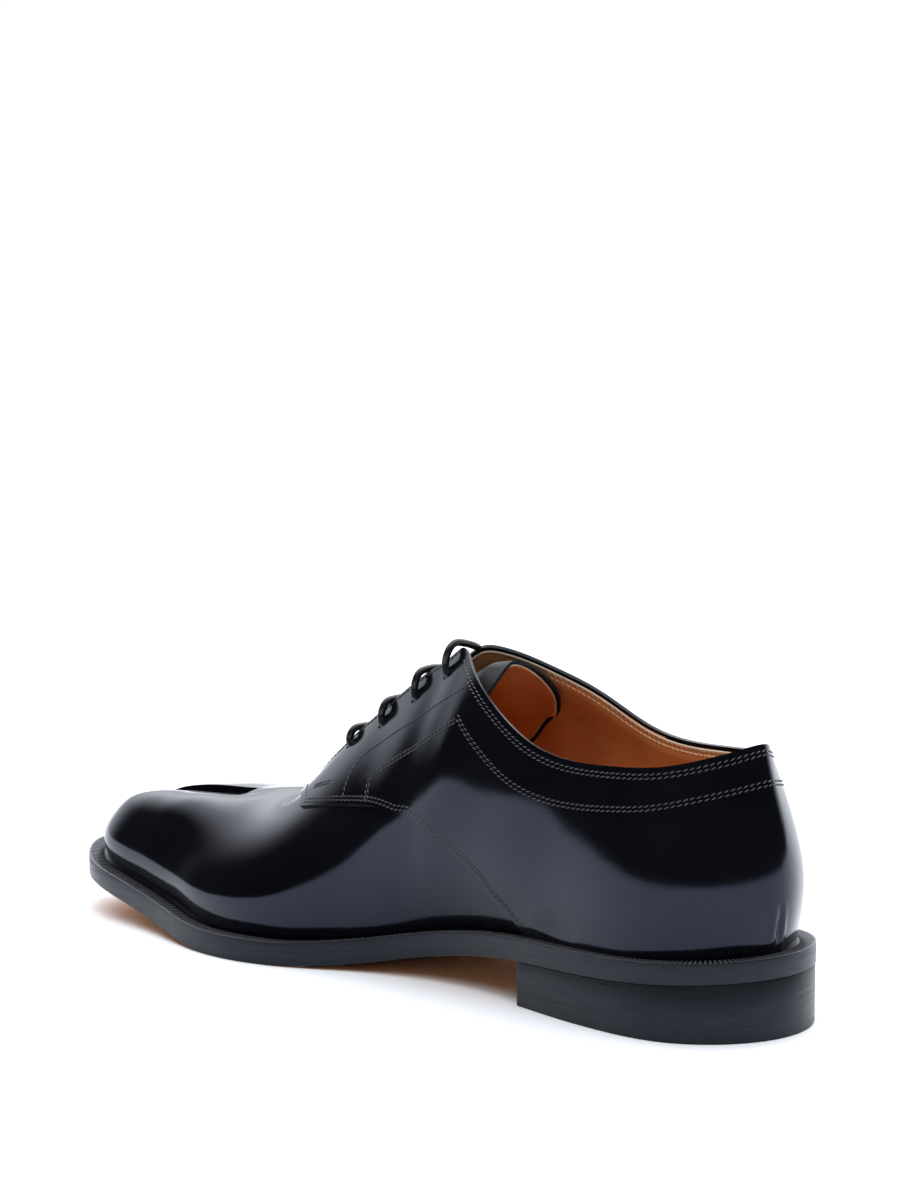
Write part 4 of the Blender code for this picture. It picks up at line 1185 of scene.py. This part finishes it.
# rows of stitches by their turning points: place along, height share; both sides have them
facingRow = (
    (126.3, 0.95), (131.8, 0.866), (136.0, 0.813), (138.6, 0.794), (145.5, 0.798), (153.0, 0.787),
    (167.5, 0.787), (170.2, 0.777), (171.4, 0.752), (172.0, 0.7), (171.6, 0.65), (170.7, 0.596),
)
legRow = (
    (125.1, 0.825), (133.8, 0.715), (136.2, 0.69), (138.8, 0.673), (147.0, 0.672), (153.5, 0.659),
    (160.9, 0.648), (162.2, 0.637), (162.2, 0.615), (161.7, 0.58), (161.0, 0.546),
)
tackRow = ((186.0, 0.728), (179.5, 0.706))
# lower collar row: place along, distance from the top edge
lowerRow = ((0.0, 11.2), (40.0, 11.5), (70.0, 12.6), (95.0, 13.5), (110.0, 14.2), (125.0, 13.2))


def makeStitches():
    onQuarter = shoe["lap"] + stitch["above"]
    pair = stitch["pair"]
    for name, side in bothSides:
        hand = side["sign"]
        bm = bmesh.new()
        run, seamShare = side["seam"][:2]
        tip = float(np.interp(stitch["tip"], seamShare, run))
        # double row along the lapped edge, single from the tip up to the throat
        for distance, stop in ((stitch["lapped"], tip), (stitch["lapped"] + pair, tip - 0.01)):
            share, along = seamAt(side, np.linspace(0.015, stop, 400))
            beads(bm, side, *offsetRow(side, along, share, -distance * hand), onQuarter)
        share, along = seamAt(side, np.linspace(tip + 0.02, 0.985, 120))
        beads(bm, side, *offsetRow(side, along, share, -stitch["throat"] * hand), onQuarter)
        # double row along the collar
        for distance, stop in ((stitch["edge"], 134.0), (stitch["edge"] + pair, 126.5)):
            along = np.linspace(0.0, stop, 320)
            beads(bm, side, *offsetRow(side, along, np.ones(320), distance * hand), onQuarter)
        # second double row below it, and the leg down to the lapped edge
        along = np.linspace(0.0, 125.0, 320)
        drop = smoothCurve(column(lowerRow, 0), column(lowerRow, 1))(along)[:, 0]
        for distance in (0.0, pair):
            share = 1.0 - (drop + distance) / sideLength(side, along)
            beads(bm, side, along, share, onQuarter)
            beads(bm, side, *offsetRow(side, *softRow(legRow), distance * hand), onQuarter)
        # single rows of the facing and its edge
        beads(bm, side, *softRow(facingRow), onQuarter)
        along = np.linspace(138.5, 200.0, 240)
        beads(bm, side, *offsetRow(side, along, flapTop(along), stitch["facing"] * hand), onQuarter)
        # bar tack at the throat
        for distance in (0.0, stitch["tack"]):
            row = offsetRow(side, *softRow(tackRow, 40, 0), distance * hand)
            beads(bm, side, *row, onQuarter, stitch["tack"])
        piece(bm, "stitching_" + name, [blackThread])
    # rows on the lining below the collar
    bm = bmesh.new()
    for name, side in bothSides:
        along = np.linspace(0.0, 126.0, 300)
        for distance in (stitch["edge"], stitch["edge"] + pair):
            low = offsetRow(side, along, np.ones(300), distance * side["sign"])
            beads(bm, side, *low, -float(liningDepth(distance)) - stitch["below"])
    piece(bm, "lining_stitching", [tanThread])


makeStitches()
print("stitches made")


# stage: pale floor, white surroundings beyond the shoe with a bright band high up, dark ones on the near side
stage = {
    "floor": (0.80, 0.83, 0.88),
    "far": (1.0, 1.05, 1.14),
    "near": (0.005, 0.0053, 0.006),
    "from": 0.10,
    "to": 0.28,
    "boxTilt": 28.0,           # degrees from the zenith to the far side
    "box": (0.58, 0.90),       # cosines of its soft edge
    "boxPower": 2.3,
}


def makeStage():
    bm = bmesh.new()
    bmesh.ops.create_grid(bm, x_segments=1, y_segments=1, size=30.0)
    floor = meshObject("floor", bm)
    made, tree, shader, where = newMaterial("pale floor", stage["floor"], 0.5)
    shader.inputs["Specular IOR Level"].default_value = 0.0
    floor.data.materials.append(made)
    world = bpy.data.worlds.new("studio")
    bpy.context.scene.world = world
    world.use_nodes = True
    tree = world.node_tree
    where = tree.nodes.new("ShaderNodeTexCoord")

    def dot(direction):
        node = tree.nodes.new("ShaderNodeVectorMath")
        node.operation = "DOT_PRODUCT"
        node.inputs[1].default_value = direction
        tree.links.new(where.outputs["Generated"], node.inputs[0])
        return node.outputs["Value"]

    near = Vector((cameraBack.x, cameraBack.y, 0.0)).normalized()
    edges = (stage["from"], stage["to"])
    nearness = spread(tree, dot(near), 0.0, 1.0, (-1.0, 1.0))
    around = tint(tree, nearness, stage["far"], stage["near"], edges, "EASE")
    tilt = math.radians(stage["boxTilt"])
    aim = Vector((0.0, 0.0, math.cos(tilt))) - near * math.sin(tilt)
    box = spread(tree, dot(aim), 0.0, stage["boxPower"], stage["box"], "SMOOTHSTEP")
    both = tree.nodes.new("ShaderNodeVectorMath")
    both.operation = "ADD"
    tree.links.new(around, both.inputs[0])
    tree.links.new(box, both.inputs[1])
    tree.links.new(both.outputs["Vector"], tree.nodes["Background"].inputs["Color"])


# soft light from above and from the camera's side, as wide suns that the polish doesn't mirror
lamps = (
    {"name": "overhead light", "turn": 0.0, "rise": 90.0, "wide": 100.0, "power": 2.1},
    {"name": "front fill", "turn": 20.0, "rise": 58.0, "wide": 55.0, "power": 1.0},
)


def makeLamps():
    for lamp in lamps:
        data = bpy.data.lights.new(lamp["name"], "SUN")
        data.energy = lamp["power"]
        data.angle = math.radians(lamp["wide"])
        holder = linked(lamp["name"], data)
        holder.visible_glossy = False
        flat = Vector((cameraBack.x, cameraBack.y, 0.0)).normalized()
        flat.rotate(Matrix.Rotation(math.radians(lamp["turn"]), 3, "Z"))
        rise = math.radians(lamp["rise"])
        toward = flat * math.cos(rise) + Vector((0.0, 0.0, math.sin(rise)))
        holder.location = toward * 2.0
        holder.rotation_euler = (-toward).to_track_quat("-Z", "Y").to_euler()


makeStage()
makeLamps()
bpy.context.scene.view_settings.view_transform = "Standard"
